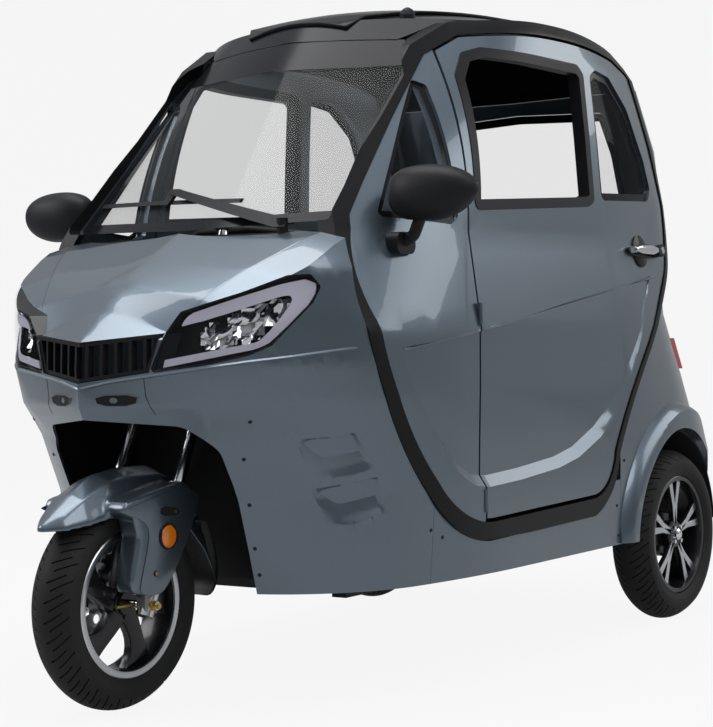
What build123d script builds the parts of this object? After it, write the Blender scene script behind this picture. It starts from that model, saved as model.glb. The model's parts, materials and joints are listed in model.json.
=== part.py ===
"""Three wheeled electric cabin car: one steered wheel in front, two driven wheels behind.

Millimetres. The car faces -Y, +X is its left side, +Z is up and the floor is z = 0.
Stations are measured rearwards from the front axle; `at()` turns one into a Y value,
and `rear()` gives the station of something measured rearwards from the rear axle.
"""
from build123d import *
from collections import namedtuple
from math import cos, radians, sin
import os

os.makedirs("parts", exist_ok=True)

# ---------------------------------------------------------------- driving dimensions
wheel_base = 1770.0
rear_end = 2091.0
wheel_radius = 238.0
front_axle_y = -(rear_end - wheel_radius) / 2
tyre_width = 118.0
rim_radius = 166.0
rear_track = 988.0
rake = 24.5
steering_offset = 36.0
fork_half = 92.0
stanchion_radius = 14.0

body_half_width = 545.0
skirt_z = 247.0
floor_z = 300.0
shell_wall = 8.0
door_wall = 38.0
roof_wall = 24.0
glass_wall = 5.0
panel_gap = 0.8
door_gap = 7.0
seal_width = 36.0
seal_proud = 4.0

screen_axis_station = 1277.0
screen_base_radius = 1028.0
screen_base_z = 1068.0
screen_taper = 0.904
roof_crown = 76.0
roof_crown_half = 500.0

arch_half = 248.0
arch_top_z = 650.0
rear_arch_radius = 300.0
flare_half_width = 572.0
seam_station = 697.0
sill_front_station = 512.0
sill_rear = -362.0

reach = 720.0


def at(station):
    """Y of a station measured from the front axle."""
    return station + front_axle_y


def rear(distance):
    """Station of a place measured rearwards from the rear axle."""
    return wheel_base + distance


# ---------------------------------------------------------------- body sections
# Each row is half of a level outline. nose: station on the centre line; knee: end of the
# flat nose; corner: start of the side; side: widest stretch from wide to back; turn and
# edge: the rear corner; tail: centre line behind. The *_in columns count inwards from
# body_half_width, and the last five stations count from the rear axle.
Level = namedtuple(
    "Level",
    "z nose knee_x knee_s corner_in corner_s side_in wide_s back turn_in turn edge_x edge tail",
)

body_levels = [
    Level(skirt_z, 120, 250, 196, 45, 473, 6, 870, -320, 15, 80, 470, 270, 300),
    Level(350, 75, 249, 168, 40, 462, 3, 780, -320, 12, 80, 470, 280, 312),
    Level(460, 20, 247, 135, 35, 450, 0, 680, -320, 10, 80, 470, 290, 320),
    Level(600, -72, 235, 62, 33, 410, 1, 650, -320, 18, 30, 450, 270, 315),
    Level(680, -106, 262, 5, 37, 370, 2, 645, -340, 24, 10, 435, 250, 300),
    Level(760, -108, 280, -6, 41, 345, 4, 640, -370, 32, -10, 418, 225, 280),
    Level(860, -99, 280, -8, 48, 330, 8, 640, -380, 40, -40, 400, 190, 235),
    Level(975, -92, 284, 2, 62, 325, 24, 660, -380, 56, -30, 410, 168, 212),
    Level(1100, -80, 290, 25, 100, 350, 41, 700, -350, 55, -5, 436, 158, 200),
]
cabin_levels = [
    Level(330, 80, 248, 175, 42, 462, -2, 800, -320, 10, 20, 470, 210, 240),
    Level(400, 50, 248, 155, 40, 456, -5, 720, -320, 8, 20, 470, 210, 240),
    Level(480, 10, 247, 128, 36, 448, -4, 660, -320, 8, 20, 470, 210, 240),
    Level(560, -42, 250, 80, 34, 425, -3, 655, -320, 9, 20, 466, 205, 238),
    Level(690, -98, 262, 5, 35, 375, -1, 648, -320, 13, 15, 460, 198, 232),
    Level(830, -100, 280, -8, 46, 330, 4, 640, -330, 22, 0, 452, 180, 220),
    Level(1063, -85, 285, 20, 116, 335, 38, 700, -350, 54, 0, 440, 165, 205),
    Level(1170, -50, 280, 90, 136, 430, 43, 800, -350, 58, -10, 432, 150, 190),
    Level(1330, 30, 280, 240, 150, 590, 53, 950, -370, 72, -70, 428, 120, 155),
    Level(1520, 200, 280, 420, 153, 790, 68, 1130, -440, 92, -130, 418, 15, 55),
    Level(1590, 260, 280, 500, 160, 860, 84, 1180, -480, 112, -200, 400, -70, -25),
    Level(1680, 340, 280, 600, 200, 960, 140, 1230, -520, 170, -290, 350, -190, -140),
]


def level_points(row, inset):
    """Corner points of half a level outline, moved inwards by inset."""
    side = body_half_width - row.side_in - inset
    return {
        "nose": (0, at(row.nose) + 1.1 * inset),
        "knee": (row.knee_x - 0.4 * inset, at(row.knee_s) + 0.92 * inset),
        "corner": (body_half_width - row.corner_in - 0.97 * inset, at(row.corner_s) + 0.25 * inset),
        "wide": (side, at(row.wide_s)),
        "back": (side, at(rear(row.back))),
        "turn": (body_half_width - row.turn_in - 0.98 * inset, at(rear(row.turn)) - 0.2 * inset),
        "edge": (row.edge_x - 0.7 * inset, at(rear(row.edge)) - 0.7 * inset),
        "tail": (0, at(rear(row.tail)) - inset),
    }


def front_path(points):
    """Edges from the widest stretch forwards round the nose corner."""
    ahead = TangentArc(points["wide"], points["corner"], tangent=(0, -1))
    TangentArc(points["corner"], points["knee"], tangent=ahead % 1)


def rear_path(points):
    """Edges from the widest stretch back round the rear corner."""
    Line(points["wide"], points["back"])
    behind = TangentArc(points["back"], points["turn"], tangent=(0, 1))
    TangentArc(points["turn"], points["edge"], tangent=behind % 1)


def level_lines(row, reach_of, outer, inner):
    """Outline of one level: the full plan, or a wall between two insets."""
    for inset in (outer,) if inner is None else (outer, inner):
        points = level_points(row, inset)
        if reach_of in ("full", "nose"):
            Line(points["nose"], points["knee"])
        if reach_of in ("full", "nose", "side"):
            front_path(points)
        if reach_of in ("full", "tail", "side"):
            rear_path(points)
        if reach_of in ("full", "tail"):
            Line(points["edge"], points["tail"])
    ends = {"full": (), "nose": ("wide",), "tail": ("wide",), "side": ("knee", "edge")}
    for end in ends[reach_of]:
        Line(level_points(row, outer)[end], level_points(row, inner)[end])
    if reach_of != "side":
        mirror(about=Plane.YZ)


def level_loft(rows, reach_of, outer, inner=None, below=0.0, above=0.0):
    """Solid or wall through the level outlines, its ends moved down and up where asked.

    reach_of is full for the whole plan, nose or tail for the wall round one end from the
    widest stretch, or side for the left wall alone.
    """
    with BuildPart() as solid:
        for number, row in enumerate(rows):
            height = row.z
            if number == 0:
                height -= below
            if number == len(rows) - 1:
                height += above
            with BuildSketch(Plane.XY.offset(height)):
                with BuildLine():
                    level_lines(row, reach_of, outer, inner)
                make_face()
        loft(ruled=True)
    return solid.part


# Top of the nose. Each row is a cross section at a station: centre height, then the
# crease beside the bonnet, then the shoulder.
Rib = namedtuple("Rib", "station ridge crease_x crease_z shoulder_x shoulder_z")
nose_ribs = [
    Rib(-170, 745, 190, 700, 620, 560),
    Rib(-99, 822, 180, 776, 620, 640),
    Rib(-20, 896, 186, 838, 620, 700),
    Rib(40, 951, 232, 913, 620, 822),
    Rib(125, 999, 290, 973, 620, 905),
    Rib(249, 1068, 356, 1040, 620, 985),
    Rib(400, 1130, 440, 1098, 620, 1070),
    Rib(640, 1230, 480, 1190, 620, 1180),
]
nose_base_z = 200.0


def nose_solid(drop):
    """Solid under the bonnet and shoulders, its top lowered by drop."""
    with BuildPart() as solid:
        for rib in nose_ribs:
            with BuildSketch(Plane.XZ.offset(-at(rib.station))):
                with BuildLine():
                    Polyline(
                        (0, nose_base_z),
                        (rib.shoulder_x, nose_base_z),
                        (rib.shoulder_x, rib.shoulder_z - drop),
                        (rib.crease_x, rib.crease_z - drop),
                        (0, rib.ridge - drop),
                    )
                    mirror(about=Plane.YZ)
                make_face()
        loft(ruled=True)
    return solid.part


# Crown of the roof: station and centre height of each cross section.
Crown = namedtuple("Crown", "station top")
roof_ribs = [
    Crown(300, 1330),
    Crown(500, 1500),
    Crown(700, 1595),
    Crown(900, 1646),
    Crown(1161, 1668),
    Crown(1500, 1668),
    Crown(1700, 1640),
    Crown(1950, 1560),
]
roof_base_z = 250.0


def roof_solid(drop):
    """Solid under the crowned roof surface, lowered by drop."""
    with BuildPart() as solid:
        for rib in roof_ribs:
            with BuildSketch(Plane.XZ.offset(-at(rib.station))):
                with BuildLine():
                    low = rib.top - roof_crown - drop
                    ThreePointArc(
                        (-roof_crown_half - 60, low - 20),
                        (0, rib.top - drop),
                        (roof_crown_half + 60, low - 20),
                    )
                    Polyline(
                        (roof_crown_half + 60, low - 20),
                        (roof_crown_half + 60, roof_base_z),
                        (-roof_crown_half - 60, roof_base_z),
                        (-roof_crown_half - 60, low - 20),
                    )
                make_face()
        loft()
    return solid.part


def screen_cone(inset):
    """Cone on whose front the windscreen lies, its surface moved inwards by inset."""
    low, high = 200.0, 1760.0
    with BuildPart() as solid:
        with BuildSketch(Plane.XZ.offset(-at(screen_axis_station))):
            with BuildLine():
                Polyline(
                    (0, low),
                    (screen_base_radius - (low - screen_base_z) * screen_taper - inset, low),
                    (screen_base_radius - (high - screen_base_z) * screen_taper - inset, high),
                    (0, high),
                    close=True,
                )
            make_face()
        revolve(axis=Axis((0, at(screen_axis_station), 0), (0, 0, 1)))
    return solid.part


# ---------------------------------------------------------------- side view outlines
side_plane = Plane.YZ


def door_ring(grow):
    """Wire of the capsule formed by the fixed panel and the door, grown by grow."""
    g = grow
    top_front = (at(735) - 0.8 * g, 1500 + 0.6 * g)
    pillar_foot = (at(345) - g, 1095 + 0.3 * g)
    waist = (at(312) - g, 960)
    toe = (at(333) - 0.95 * g, 852 - 0.2 * g)
    knee = (at(405) - 0.85 * g, 645 - 0.5 * g)
    low = (at(515) - 0.7 * g, 482 - 0.8 * g)
    chin = (at(578) - 0.5 * g, 421 - g)
    heel = (at(735) - 0.1 * g, 372 - 1.3 * g)
    back = (at(rear(-520)), 384 - 1.3 * g)
    heel_turn = (at(rear(-442)) + 0.3 * g, 420 - 0.8 * g)
    rear_low = (at(rear(-396)) + 0.5 * g, 501 - 0.3 * g)
    rear_mid = (at(rear(-167)) + 0.35 * g, 780 - 0.3 * g)
    rear_waist = (at(rear(18)) + 0.5 * g, 976 - 0.2 * g)
    rear_top = (at(rear(66)) + g, 1170)
    rear_arc = (at(rear(24)) + 0.9 * g, 1330 + 0.3 * g)
    rear_roof = (at(rear(-75)) + 0.7 * g, 1535 + 0.6 * g)
    roof_back = (at(rear(-170)), 1566 + g)
    roof_mid = (at(1180), 1583 + g)
    roof_front = (at(850) - 0.3 * g, 1556 + 0.9 * g)
    Line(top_front, pillar_foot)
    ThreePointArc(pillar_foot, waist, toe)
    ThreePointArc(toe, knee, low)
    ThreePointArc(low, chin, heel)
    Line(heel, back)
    ThreePointArc(back, heel_turn, rear_low)
    ThreePointArc(rear_low, (at(rear(-298)) + 0.4 * g, 640 - 0.3 * g), rear_mid)
    Line(rear_mid, rear_waist)
    ThreePointArc(rear_waist, (at(rear(68)) + 0.8 * g, 1080 - 0.1 * g), rear_top)
    ThreePointArc(rear_top, rear_arc, rear_roof)
    Line(rear_roof, roof_back)
    ThreePointArc(roof_back, roof_mid, roof_front)
    Line(roof_front, top_front)


def ring_face(grow):
    """Face of the capsule outline, grown by grow."""
    with BuildSketch() as face:
        with BuildLine():
            door_ring(grow)
        make_face()
    return face.sketch


def side_face(points, round_corners=0.0, shrink=0.0):
    """Face over a polygon of (station, height) corners, rounded, then shrunk all round."""
    with BuildSketch() as face:
        with BuildLine():
            Polyline([(at(s), z) for s, z in points], close=True)
        make_face()
        if round_corners:
            fillet(face.vertices(), round_corners)
        if shrink:
            offset(amount=-shrink, mode=Mode.REPLACE)
    return face.sketch


def front_prism(points, near, far, round_corners=0.0):
    """Prism along the car over a half polygon of (x, height), mirrored, between stations."""
    with BuildPart() as prism:
        with BuildSketch(Plane.XZ.offset(-at(near))) as outline:
            with BuildLine():
                half = Polyline(points)
                mirror(half, about=Plane.YZ)
            make_face()
            if round_corners:
                inner = outline.vertices().filter_by(lambda v: abs(v.X) > 1)
                fillet(inner, round_corners)
        extrude(amount=-(far - near))
    return prism.part


def block(x0, x1, s0, s1, z0, z1):
    """Plain block between x, station and height limits."""
    with BuildPart() as solid:
        with Locations(((x0 + x1) / 2, at((s0 + s1) / 2), (z0 + z1) / 2)):
            Box(x1 - x0, s1 - s0, z1 - z0)
    return solid.part


# Seam between the fixed front panel and the door, as (station, height) from the bottom up.
seam_line = [
    (seam_station, 200), (seam_station, 500), (seam_station + 12, 1064), (seam_station + 90, 1700),
]


def ahead_of_seam(shift):
    """Polygon in front of the door seam, its edge moved by shift."""
    return [(-500, 200)] + [(s + shift, z) for s, z in seam_line] + [(-500, 1700)]


def behind_seam(shift):
    """Polygon behind the door seam, its edge moved by shift."""
    return [(s + shift, z) for s, z in seam_line] + [(rear(700), 1700), (rear(700), 200)]


# ---------------------------------------------------------------- shared envelopes
body_outer = level_loft(body_levels, "full", 0)
body_inner = level_loft(body_levels, "full", shell_wall, below=30, above=30)
nose_outer = nose_solid(0)
nose_inner = nose_solid(shell_wall)
glass_levels = [row for row in cabin_levels if row.z > 1000]
door_slab = level_loft(cabin_levels, "side", 0, door_wall)

# ---------------------------------------------------------------- front shell and bonnet
lamp_station = 60.0
lamp_x = 300.0
lamp_z = 860.0
lamp_plane = Plane(
    origin=(lamp_x, at(lamp_station), lamp_z), x_dir=(0.83, 0.56, 0), z_dir=(0.56, -0.83, 0)
)
lamp_outline = [
    (-182, -110), (-143, -21), (-109, 23), (23, 62), (122, 97),
    (172, 99), (194, 72), (176, 36), (85, -56), (35, -76), (-54, -94),
]
lamp_corner = 9.0


def lamp_prism(grow, ahead, behind):
    """Prism through the headlamp outline on the left, grown by grow."""
    with BuildPart() as prism:
        with BuildSketch(lamp_plane.offset(-behind)):
            with BuildLine():
                Polyline(lamp_outline, close=True)
            outline = make_face()
            fillet(outline.vertices(), lamp_corner)
            if grow:
                offset(amount=grow, mode=Mode.REPLACE)
        extrude(amount=ahead + behind)
    return prism.part


grille_half = [(0, 730), (156, 752), (182, 837), (0, 820)]
lamp_opening = lamp_prism(0, 200, 200)
arch_half_outline = [
    (0, arch_top_z), (195, arch_top_z - 18), (arch_half - 4, arch_top_z - 75),
    (arch_half, 500), (arch_half, 100), (0, 100),
]
bonnet_low = 815.0

# Plan of the bonnet: its side edge as (x, station) pairs, from the grille to the screen.
bonnet_half = [
    (0, -130), (100, -100), (186, -20), (232, 30), (332, 190), (402, 346), (402, 440), (0, 440),
]


def plan_prism(half_points, low, high):
    """Upright prism over a half polygon of (x, station) corners, mirrored."""
    with BuildPart() as prism:
        with BuildSketch(Plane.XY.offset(low)):
            with BuildLine():
                half = Polyline([(x, at(s)) for x, s in half_points])
                mirror(half, about=Plane.YZ)
            make_face()
        extrude(amount=high - low)
    return prism.part


with BuildPart() as nose_region:
    with BuildSketch(Plane.YZ):
        add(side_face([(-400, 150), (-400, 1160), (sill_front_station, 1160), (sill_front_station, 150)]))
        add(ring_face(seal_width), mode=Mode.SUBTRACT)
    extrude(amount=reach, both=True)
    add(screen_cone(0) & block(-700, 700, -400, 1200, screen_base_z - 60, 1760), mode=Mode.SUBTRACT)

nose_shell = ((body_outer & nose_outer) - (body_inner & nose_inner)) & nose_region.part

with BuildPart() as hood:
    add(nose_shell)
    add(plan_prism(bonnet_half, bonnet_low, 1300), mode=Mode.INTERSECT)
    add(front_prism(grille_half, -200, 120), mode=Mode.SUBTRACT)
    add(lamp_opening, mode=Mode.SUBTRACT)
    add(lamp_opening.mirror(Plane.YZ), mode=Mode.SUBTRACT)
hood.part.label = "hood"
export_step(hood.part, "parts/hood.step")

with BuildPart() as front_shell:
    add(nose_shell)
    grown_bonnet = [(x + panel_gap * (x > 0), s) for x, s in bonnet_half]
    add(plan_prism(grown_bonnet, bonnet_low - panel_gap, 1300), mode=Mode.SUBTRACT)
    add(front_prism(arch_half_outline, -260, 420, 40), mode=Mode.SUBTRACT)
    add(front_prism(grille_half, -200, 120), mode=Mode.SUBTRACT)
    add(lamp_opening, mode=Mode.SUBTRACT)
    add(lamp_opening.mirror(Plane.YZ), mode=Mode.SUBTRACT)
front_shell.part.label = "front_shell"
export_step(front_shell.part, "parts/front_shell.step")

# ---------------------------------------------------------------- grille and headlamps
grille_depth = 16.0
grille_frame = 9.0
grille_bars = 10
grille_bar_width = 7.0
grille_pitch = 32.0
grille_levels = [row for row in body_levels if 670 < row.z < 870]
lamp_levels = [row for row in body_levels if 670 < row.z < 1000]

grille_skin = level_loft(grille_levels, "nose", 5, 5 + grille_depth)
grille_window = front_prism([(0, 731), (155, 753), (181, 836), (0, 819)], -220, 120)
with BuildPart() as grille_slats:
    add(front_prism([(0, 731 + grille_frame), (148, 761), (171, 827), (0, 819 - grille_frame)], -220, 140))
    for number in range(grille_bars):
        middle = (number + 0.5 - grille_bars / 2) * grille_pitch
        half = grille_bar_width / 2
        add(block(middle - half, middle + half, -240, 160, 700, 860), mode=Mode.SUBTRACT)
with BuildPart() as grille:
    add(grille_skin & grille_window)
    add(grille_slats.part, mode=Mode.SUBTRACT)
grille.part.label = "grille"
export_step(grille.part, "parts/grille.step")

lens_wall = 4.0
lamp_depth = 70.0
lamp_cup = 4.0
with BuildPart() as headlamp_lenses:
    add(level_loft(lamp_levels, "nose", 0, lens_wall) & lamp_prism(-panel_gap, 160, 100))
    mirror(about=Plane.YZ)
headlamp_lenses.part.label = "headlamp_lenses"
export_step(headlamp_lenses.part, "parts/headlamp_lenses.step")

with BuildPart() as headlamps:
    add(level_loft(lamp_levels, "nose", lens_wall + 0.3, lamp_depth) & lamp_prism(-panel_gap, 160, 140))
    add(
        level_loft(lamp_levels, "nose", -5, lamp_depth - lamp_cup) & lamp_prism(-panel_gap - lamp_cup, 160, 140),
        mode=Mode.SUBTRACT,
    )
    add(front_prism([(0, 729), (157, 751), (183, 838), (0, 821)], -200, 120), mode=Mode.SUBTRACT)
    mirror(about=Plane.YZ)
headlamps.part.label = "headlamps"
export_step(headlamps.part, "parts/headlamps.step")

# ---------------------------------------------------------------- windscreen, roof, pillars
screen_edge = [(0, 1072), (398, 1084), (376, 1250), (371, 1440), (350, 1500), (318, 1545), (0, 1560)]
screen_in = 3.0
screen_bed = 0.3
roof_split_z = 1500.0
with BuildPart() as screen_front:
    with BuildSketch(Plane.YZ):
        add(side_face([(0, 1040), (0, 1760), (1250, 1760), (700, 1040)]))
    extrude(amount=reach, both=True)
with BuildPart() as roof:
    add(level_loft(glass_levels, "full", 0) & roof_solid(0) & screen_cone(0))
    add(level_loft(glass_levels, "full", roof_wall, below=30) & roof_solid(roof_wall) & screen_cone(roof_wall),
        mode=Mode.SUBTRACT)
    with BuildPart(mode=Mode.PRIVATE) as roof_region:
        with BuildSketch(Plane.YZ):
            add(side_face([(150, 1040), (150, 1800), (rear(300), 1800), (rear(300), roof_split_z),
                       (rear(-400), roof_split_z), (440, 1040)]))
            add(ring_face(seal_width), mode=Mode.SUBTRACT)
        extrude(amount=reach, both=True)
    add(roof_region.part, mode=Mode.INTERSECT)
    add(front_prism(screen_edge, -200, screen_axis_station, 12), mode=Mode.SUBTRACT)
roof.part.label = "roof"
export_step(roof.part, "parts/roof.step")

glass_edge = [(0, 1073), (397, 1085), (375, 1250), (370, 1440), (349.2, 1499.5), (317.5, 1544), (0, 1559)]
with BuildPart() as windscreen:
    add(front_prism(glass_edge, -200, screen_axis_station, 12) & screen_front.part)
    add(screen_cone(screen_in), mode=Mode.INTERSECT)
    add(screen_cone(screen_in + glass_wall), mode=Mode.SUBTRACT)
windscreen.part.label = "windscreen"
export_step(windscreen.part, "parts/windscreen.step")

# Space ahead of the glass; the panels beside it are cut back to this bed.
screen_room = front_prism(screen_edge, -200, screen_axis_station, 12) & screen_front.part
screen_room = screen_room - screen_cone(screen_in + glass_wall + screen_bed)

# ---------------------------------------------------------------- fixed panels and doors
quarter_glass_outline = [(412, 1092), (640, 1078), (672, 1094), (702, 1420), (672, 1432)]
door_window_outline = [
    (748, 1115), (790, 1450), (835, 1510), (900, 1528), (1330, 1524), (1362, 1500), (1368, 1160), (1330, 1146),
]
rear_glass_outline = [
    (1410, 1166), (1400, 1500), (1440, 1520), (1530, 1508), (1640, 1430), (1720, 1290), (1742, 1210), (1712, 1176),
]
window_round = 22.0
quarter_round = 10.0

door_knuckle = 6.0
door_pin = 3.0
knuckle_third = 18.0
door_hinge_heights = (424.0, 866.0)
hinge_lean = (-0.0209, 0.0132, 1)


def hinge_place(height):
    """X and station of the left door's hinge line at a height."""
    return 550.5 - 0.0209 * (height - 400), 699 + 0.0132 * (height - 450)


def door_hinge_bar(height, radius, low, high):
    """Cylinder on the left door's hinge line, between two places above a hinge's middle."""
    x, station = hinge_place(height)
    with BuildPart() as bar:
        with BuildSketch(Plane(origin=(x, at(station), height), x_dir=(1, 0, 0.0209), z_dir=hinge_lean).offset(low)):
            Circle(radius)
        extrude(amount=high - low)
    return bar.part


# The panels below the belt crease are hollowed down to a sloping ledge above the skirt.
# Each row: a point of the ledge's crest on the skirt and the one of its foot on the panel.
Ledge = namedtuple("Ledge", "crest_s crest_z foot_s foot_z")
ledge_rows = [
    Ledge(387, 792, 387, 792),
    Ledge(430, 690, 437, 693),
    Ledge(492, 589, 503, 601),
    Ledge(536, 537, 554, 556),
    Ledge(586, 492, 606, 514),
    Ledge(654, 463, 668, 488),
    Ledge(722, 456, 730, 482),
    Ledge(873, 462, 876, 489),
    Ledge(1065, 477, 1064, 505),
    Ledge(1170, 496, 1162, 525),
    Ledge(1294, 540, 1278, 572),
    Ledge(1384, 592, 1362, 626),
    Ledge(1467, 665, 1442, 698),
    Ledge(1560, 775, 1536, 796),
    Ledge(1648, 905, 1640, 912),
    Ledge(1672, 966, 1672, 966),
    Ledge(1601, 960, 1601, 960),
    Ledge(1112, 887, 1112, 887),
    Ledge(718, 826, 718, 826),
]
skirt_x = 549.0
hollow_depth = 18.0
hollow_step = 2.5
hollow_low_z = 500.0
hollow_top_z = 860.0


def hollow_inset(height):
    """How far the panel lies inside the skirt at a height."""
    share = min(max((hollow_top_z - height) / (hollow_top_z - hollow_low_z), 0), 1)
    return hollow_step + (hollow_depth - hollow_step) * share


with BuildPart() as hollow:
    for x in (skirt_x + 20, skirt_x - 80):
        share = (skirt_x - x) / hollow_depth
        with BuildSketch(Plane.YZ.offset(x)):
            with BuildLine():
                Polyline(
                    [
                        (at(row.crest_s + share * (row.foot_s - row.crest_s)),
                         row.crest_z + share * (row.foot_z - row.crest_z))
                        for row in ledge_rows
                    ],
                    close=True,
                )
            make_face()
    loft(ruled=True)
    hollow_levels = []
    for row in cabin_levels[:7]:
        inset = hollow_inset(row.z)
        hollow_levels.append(row._replace(
            side_in=row.side_in + inset, corner_in=row.corner_in + inset, turn_in=row.turn_in + inset))
    add(level_loft(hollow_levels, "side", -50, 0), mode=Mode.INTERSECT)

with BuildPart() as side_panels:
    with BuildSketch(Plane.YZ.offset(250)):
        add(ring_face(0))
        add(side_face(ahead_of_seam(0)), mode=Mode.INTERSECT)
        add(side_face(quarter_glass_outline, quarter_round), mode=Mode.SUBTRACT)
    extrude(amount=reach - 250)
    add(door_slab, mode=Mode.INTERSECT)
    add(screen_room, mode=Mode.SUBTRACT)
    add(hollow.part, mode=Mode.SUBTRACT)
    for height in door_hinge_heights:
        third = knuckle_third
        add(door_hinge_bar(height, door_knuckle + 1, -third / 2 - 1, third / 2 + 1), mode=Mode.SUBTRACT)
        add(door_hinge_bar(height, door_knuckle, -1.5 * third, -third / 2 - 0.5))
        add(door_hinge_bar(height, door_knuckle, third / 2 + 0.5, 1.5 * third))
        add(door_hinge_bar(height, door_pin, -1.5 * third, 1.5 * third))
    mirror(about=Plane.YZ)
side_panels.part.label = "side_panels"
export_step(side_panels.part, "parts/side_panels.step")

trim_width = 26.0
trim_proud = 2.0
trim_levels = glass_levels
glass_in = 8.0
with BuildPart() as door_blank:
    with BuildSketch(Plane.YZ.offset(250)):
        add(ring_face(-door_gap))
        add(side_face(behind_seam(door_gap)), mode=Mode.INTERSECT)
        add(side_face(door_window_outline, window_round), mode=Mode.SUBTRACT)
        add(side_face(rear_glass_outline, window_round), mode=Mode.SUBTRACT)
    extrude(amount=reach - 250)
    add(door_slab, mode=Mode.INTERSECT)
    add(hollow.part, mode=Mode.SUBTRACT)
    for height in door_hinge_heights:
        third = knuckle_third
        for low, high in ((-1.5 * third - 1, -third / 2), (third / 2, 1.5 * third + 1)):
            add(door_hinge_bar(height, door_knuckle + 1, low, high), mode=Mode.SUBTRACT)
        add(door_hinge_bar(height, door_knuckle, -third / 2, third / 2))
        x, station = hinge_place(height)
        add(block(x - 6, x - 1, station + 1, station + 14, height - third / 2, height + third / 2))
        add(door_hinge_bar(height, door_pin + 0.3, -third, third), mode=Mode.SUBTRACT)
with BuildPart() as trim_blank:
    with BuildSketch(Plane.YZ.offset(250)):
        add(side_face(door_window_outline, window_round, 0.3))
        add(side_face(door_window_outline, window_round, trim_width), mode=Mode.SUBTRACT)
    extrude(amount=reach - 250)
    add(level_loft(trim_levels, "side", -trim_proud, door_wall - 6), mode=Mode.INTERSECT)
with BuildPart() as glass_blank:
    with BuildSketch(Plane.YZ.offset(250)):
        add(side_face(rear_glass_outline, window_round, 0.3))
    extrude(amount=reach - 250)
    add(level_loft(trim_levels, "side", glass_in, glass_in + glass_wall), mode=Mode.INTERSECT)
with BuildPart() as quarter_windows:
    with BuildSketch(Plane.YZ.offset(250)):
        add(side_face(quarter_glass_outline, quarter_round, 0.3))
    extrude(amount=reach - 250)
    add(level_loft(trim_levels, "side", glass_in, glass_in + glass_wall), mode=Mode.INTERSECT)
    mirror(about=Plane.YZ)
quarter_windows.part.label = "quarter_windows"
export_step(quarter_windows.part, "parts/quarter_windows.step")

handle_station = 1600.0
handle_z = 1032.0
handle_length = 150.0
handle_foot = 120.0
with BuildPart() as handle_blank:
    with BuildSketch(Plane.XZ.offset(-at(handle_station - handle_length / 2))):
        with Locations((531, handle_z)):
            RectangleRounded(18, 26, 6)
    extrude(amount=-handle_length)
    for station in (handle_station - handle_foot / 2, handle_station + handle_foot / 2):
        add(block(490, 535, station - 12, station + 12, handle_z - 10, handle_z + 10))
    add(level_loft([row for row in cabin_levels if row.z > 800][:3], "full", 0), mode=Mode.SUBTRACT)

door_pieces = (
    ("door_", door_blank), ("window_trim_", trim_blank), ("door_glass_", glass_blank), ("door_handle_", handle_blank),
)
for piece, blank in door_pieces:
    for side in ("left", "right"):
        with BuildPart() as door_piece:
            add(blank.part if side == "left" else blank.part.mirror(Plane.YZ))
        door_piece.part.label = piece + side
        export_step(door_piece.part, "parts/" + piece + side + ".step")

with BuildPart() as door_seals:
    with BuildSketch(Plane.YZ.offset(250)):
        add(ring_face(seal_width - 0.3))
        add(ring_face(0.3), mode=Mode.SUBTRACT)
    extrude(amount=reach - 250)
    add(level_loft(cabin_levels, "side", -seal_proud, door_wall), mode=Mode.INTERSECT)
    add(screen_room, mode=Mode.SUBTRACT)
    mirror(about=Plane.YZ)
door_seals.part.label = "door_seals"
export_step(door_seals.part, "parts/door_seals.step")

# ---------------------------------------------------------------- sills and rear body
with BuildPart() as sills:
    with BuildSketch(Plane.YZ.offset(250)):
        add(side_face([(sill_front_station + panel_gap, 150), (sill_front_station + panel_gap, 560), (760, 560),
                   (760, 420), (rear(sill_rear), 420), (rear(sill_rear), 150)]))
        add(ring_face(seal_width), mode=Mode.SUBTRACT)
    extrude(amount=reach - 250)
    add(level_loft(body_levels[:4], "side", 0, shell_wall), mode=Mode.INTERSECT)
    mirror(about=Plane.YZ)
sills.part.label = "sills"
export_step(sills.part, "parts/sills.step")

flare_wall = 10.0
flare_inner_x = 500.0
flare_spread = 82.0
flare_crown_x = 556.0
flare_crown = 50.0
flare_proud = 27.0
rear_wall = 12.0
tail_levels = [row for row in body_levels if row.z < 1000] + glass_levels[:-1]
rear_window_half = [(0, 1130), (330, 1130), (300, 1450), (0, 1465)]
boot_half = [(0, 520), (330, 520), (355, 700), (352, 1050), (0, 1050)]
hatch_round = 25.0


def wheel_drum(radius, x0, x1):
    """Cylinder across the car on the rear wheel centre, between two x positions."""
    with BuildPart() as drum:
        with BuildSketch(Plane.YZ.offset(x0)):
            with Locations((at(wheel_base), wheel_radius)):
                Circle(radius)
        extrude(amount=x1 - x0)
    return drum.part


with BuildPart() as flare:
    with BuildSketch(Plane.XY.offset(wheel_radius)):
        with BuildLine():
            hub_y = at(wheel_base)
            rim_y = hub_y + rear_arch_radius + flare_wall
            crown_y = hub_y + rear_arch_radius + flare_crown
            top_y = hub_y + rear_arch_radius + flare_spread
            ThreePointArc((flare_half_width, rim_y), (flare_crown_x, crown_y), (flare_inner_x, top_y))
            Polyline((flare_inner_x, top_y), (flare_inner_x, hub_y), (flare_half_width, hub_y),
                     (flare_half_width, rim_y))
        make_face()
    revolve(axis=Axis((0, hub_y, wheel_radius), (1, 0, 0)))
    add(wheel_drum(rear_arch_radius, flare_inner_x - 5, flare_half_width + 5), mode=Mode.SUBTRACT)
    add(block(400, 700, rear(sill_rear) + panel_gap, rear(500), skirt_z + 2, 900), mode=Mode.INTERSECT)
    add(level_loft(body_levels, "full", -flare_proud, below=20), mode=Mode.INTERSECT)
    mirror(about=Plane.YZ)

tail_shell = level_loft(tail_levels, "tail", 0, rear_wall)
hinge_station = rear(214)
hinge_z = 1047.0
hinge_pin = 4.0
hinge_knuckle = 8.0
hinge_x = 60.0
hinge_length = 50.0


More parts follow.
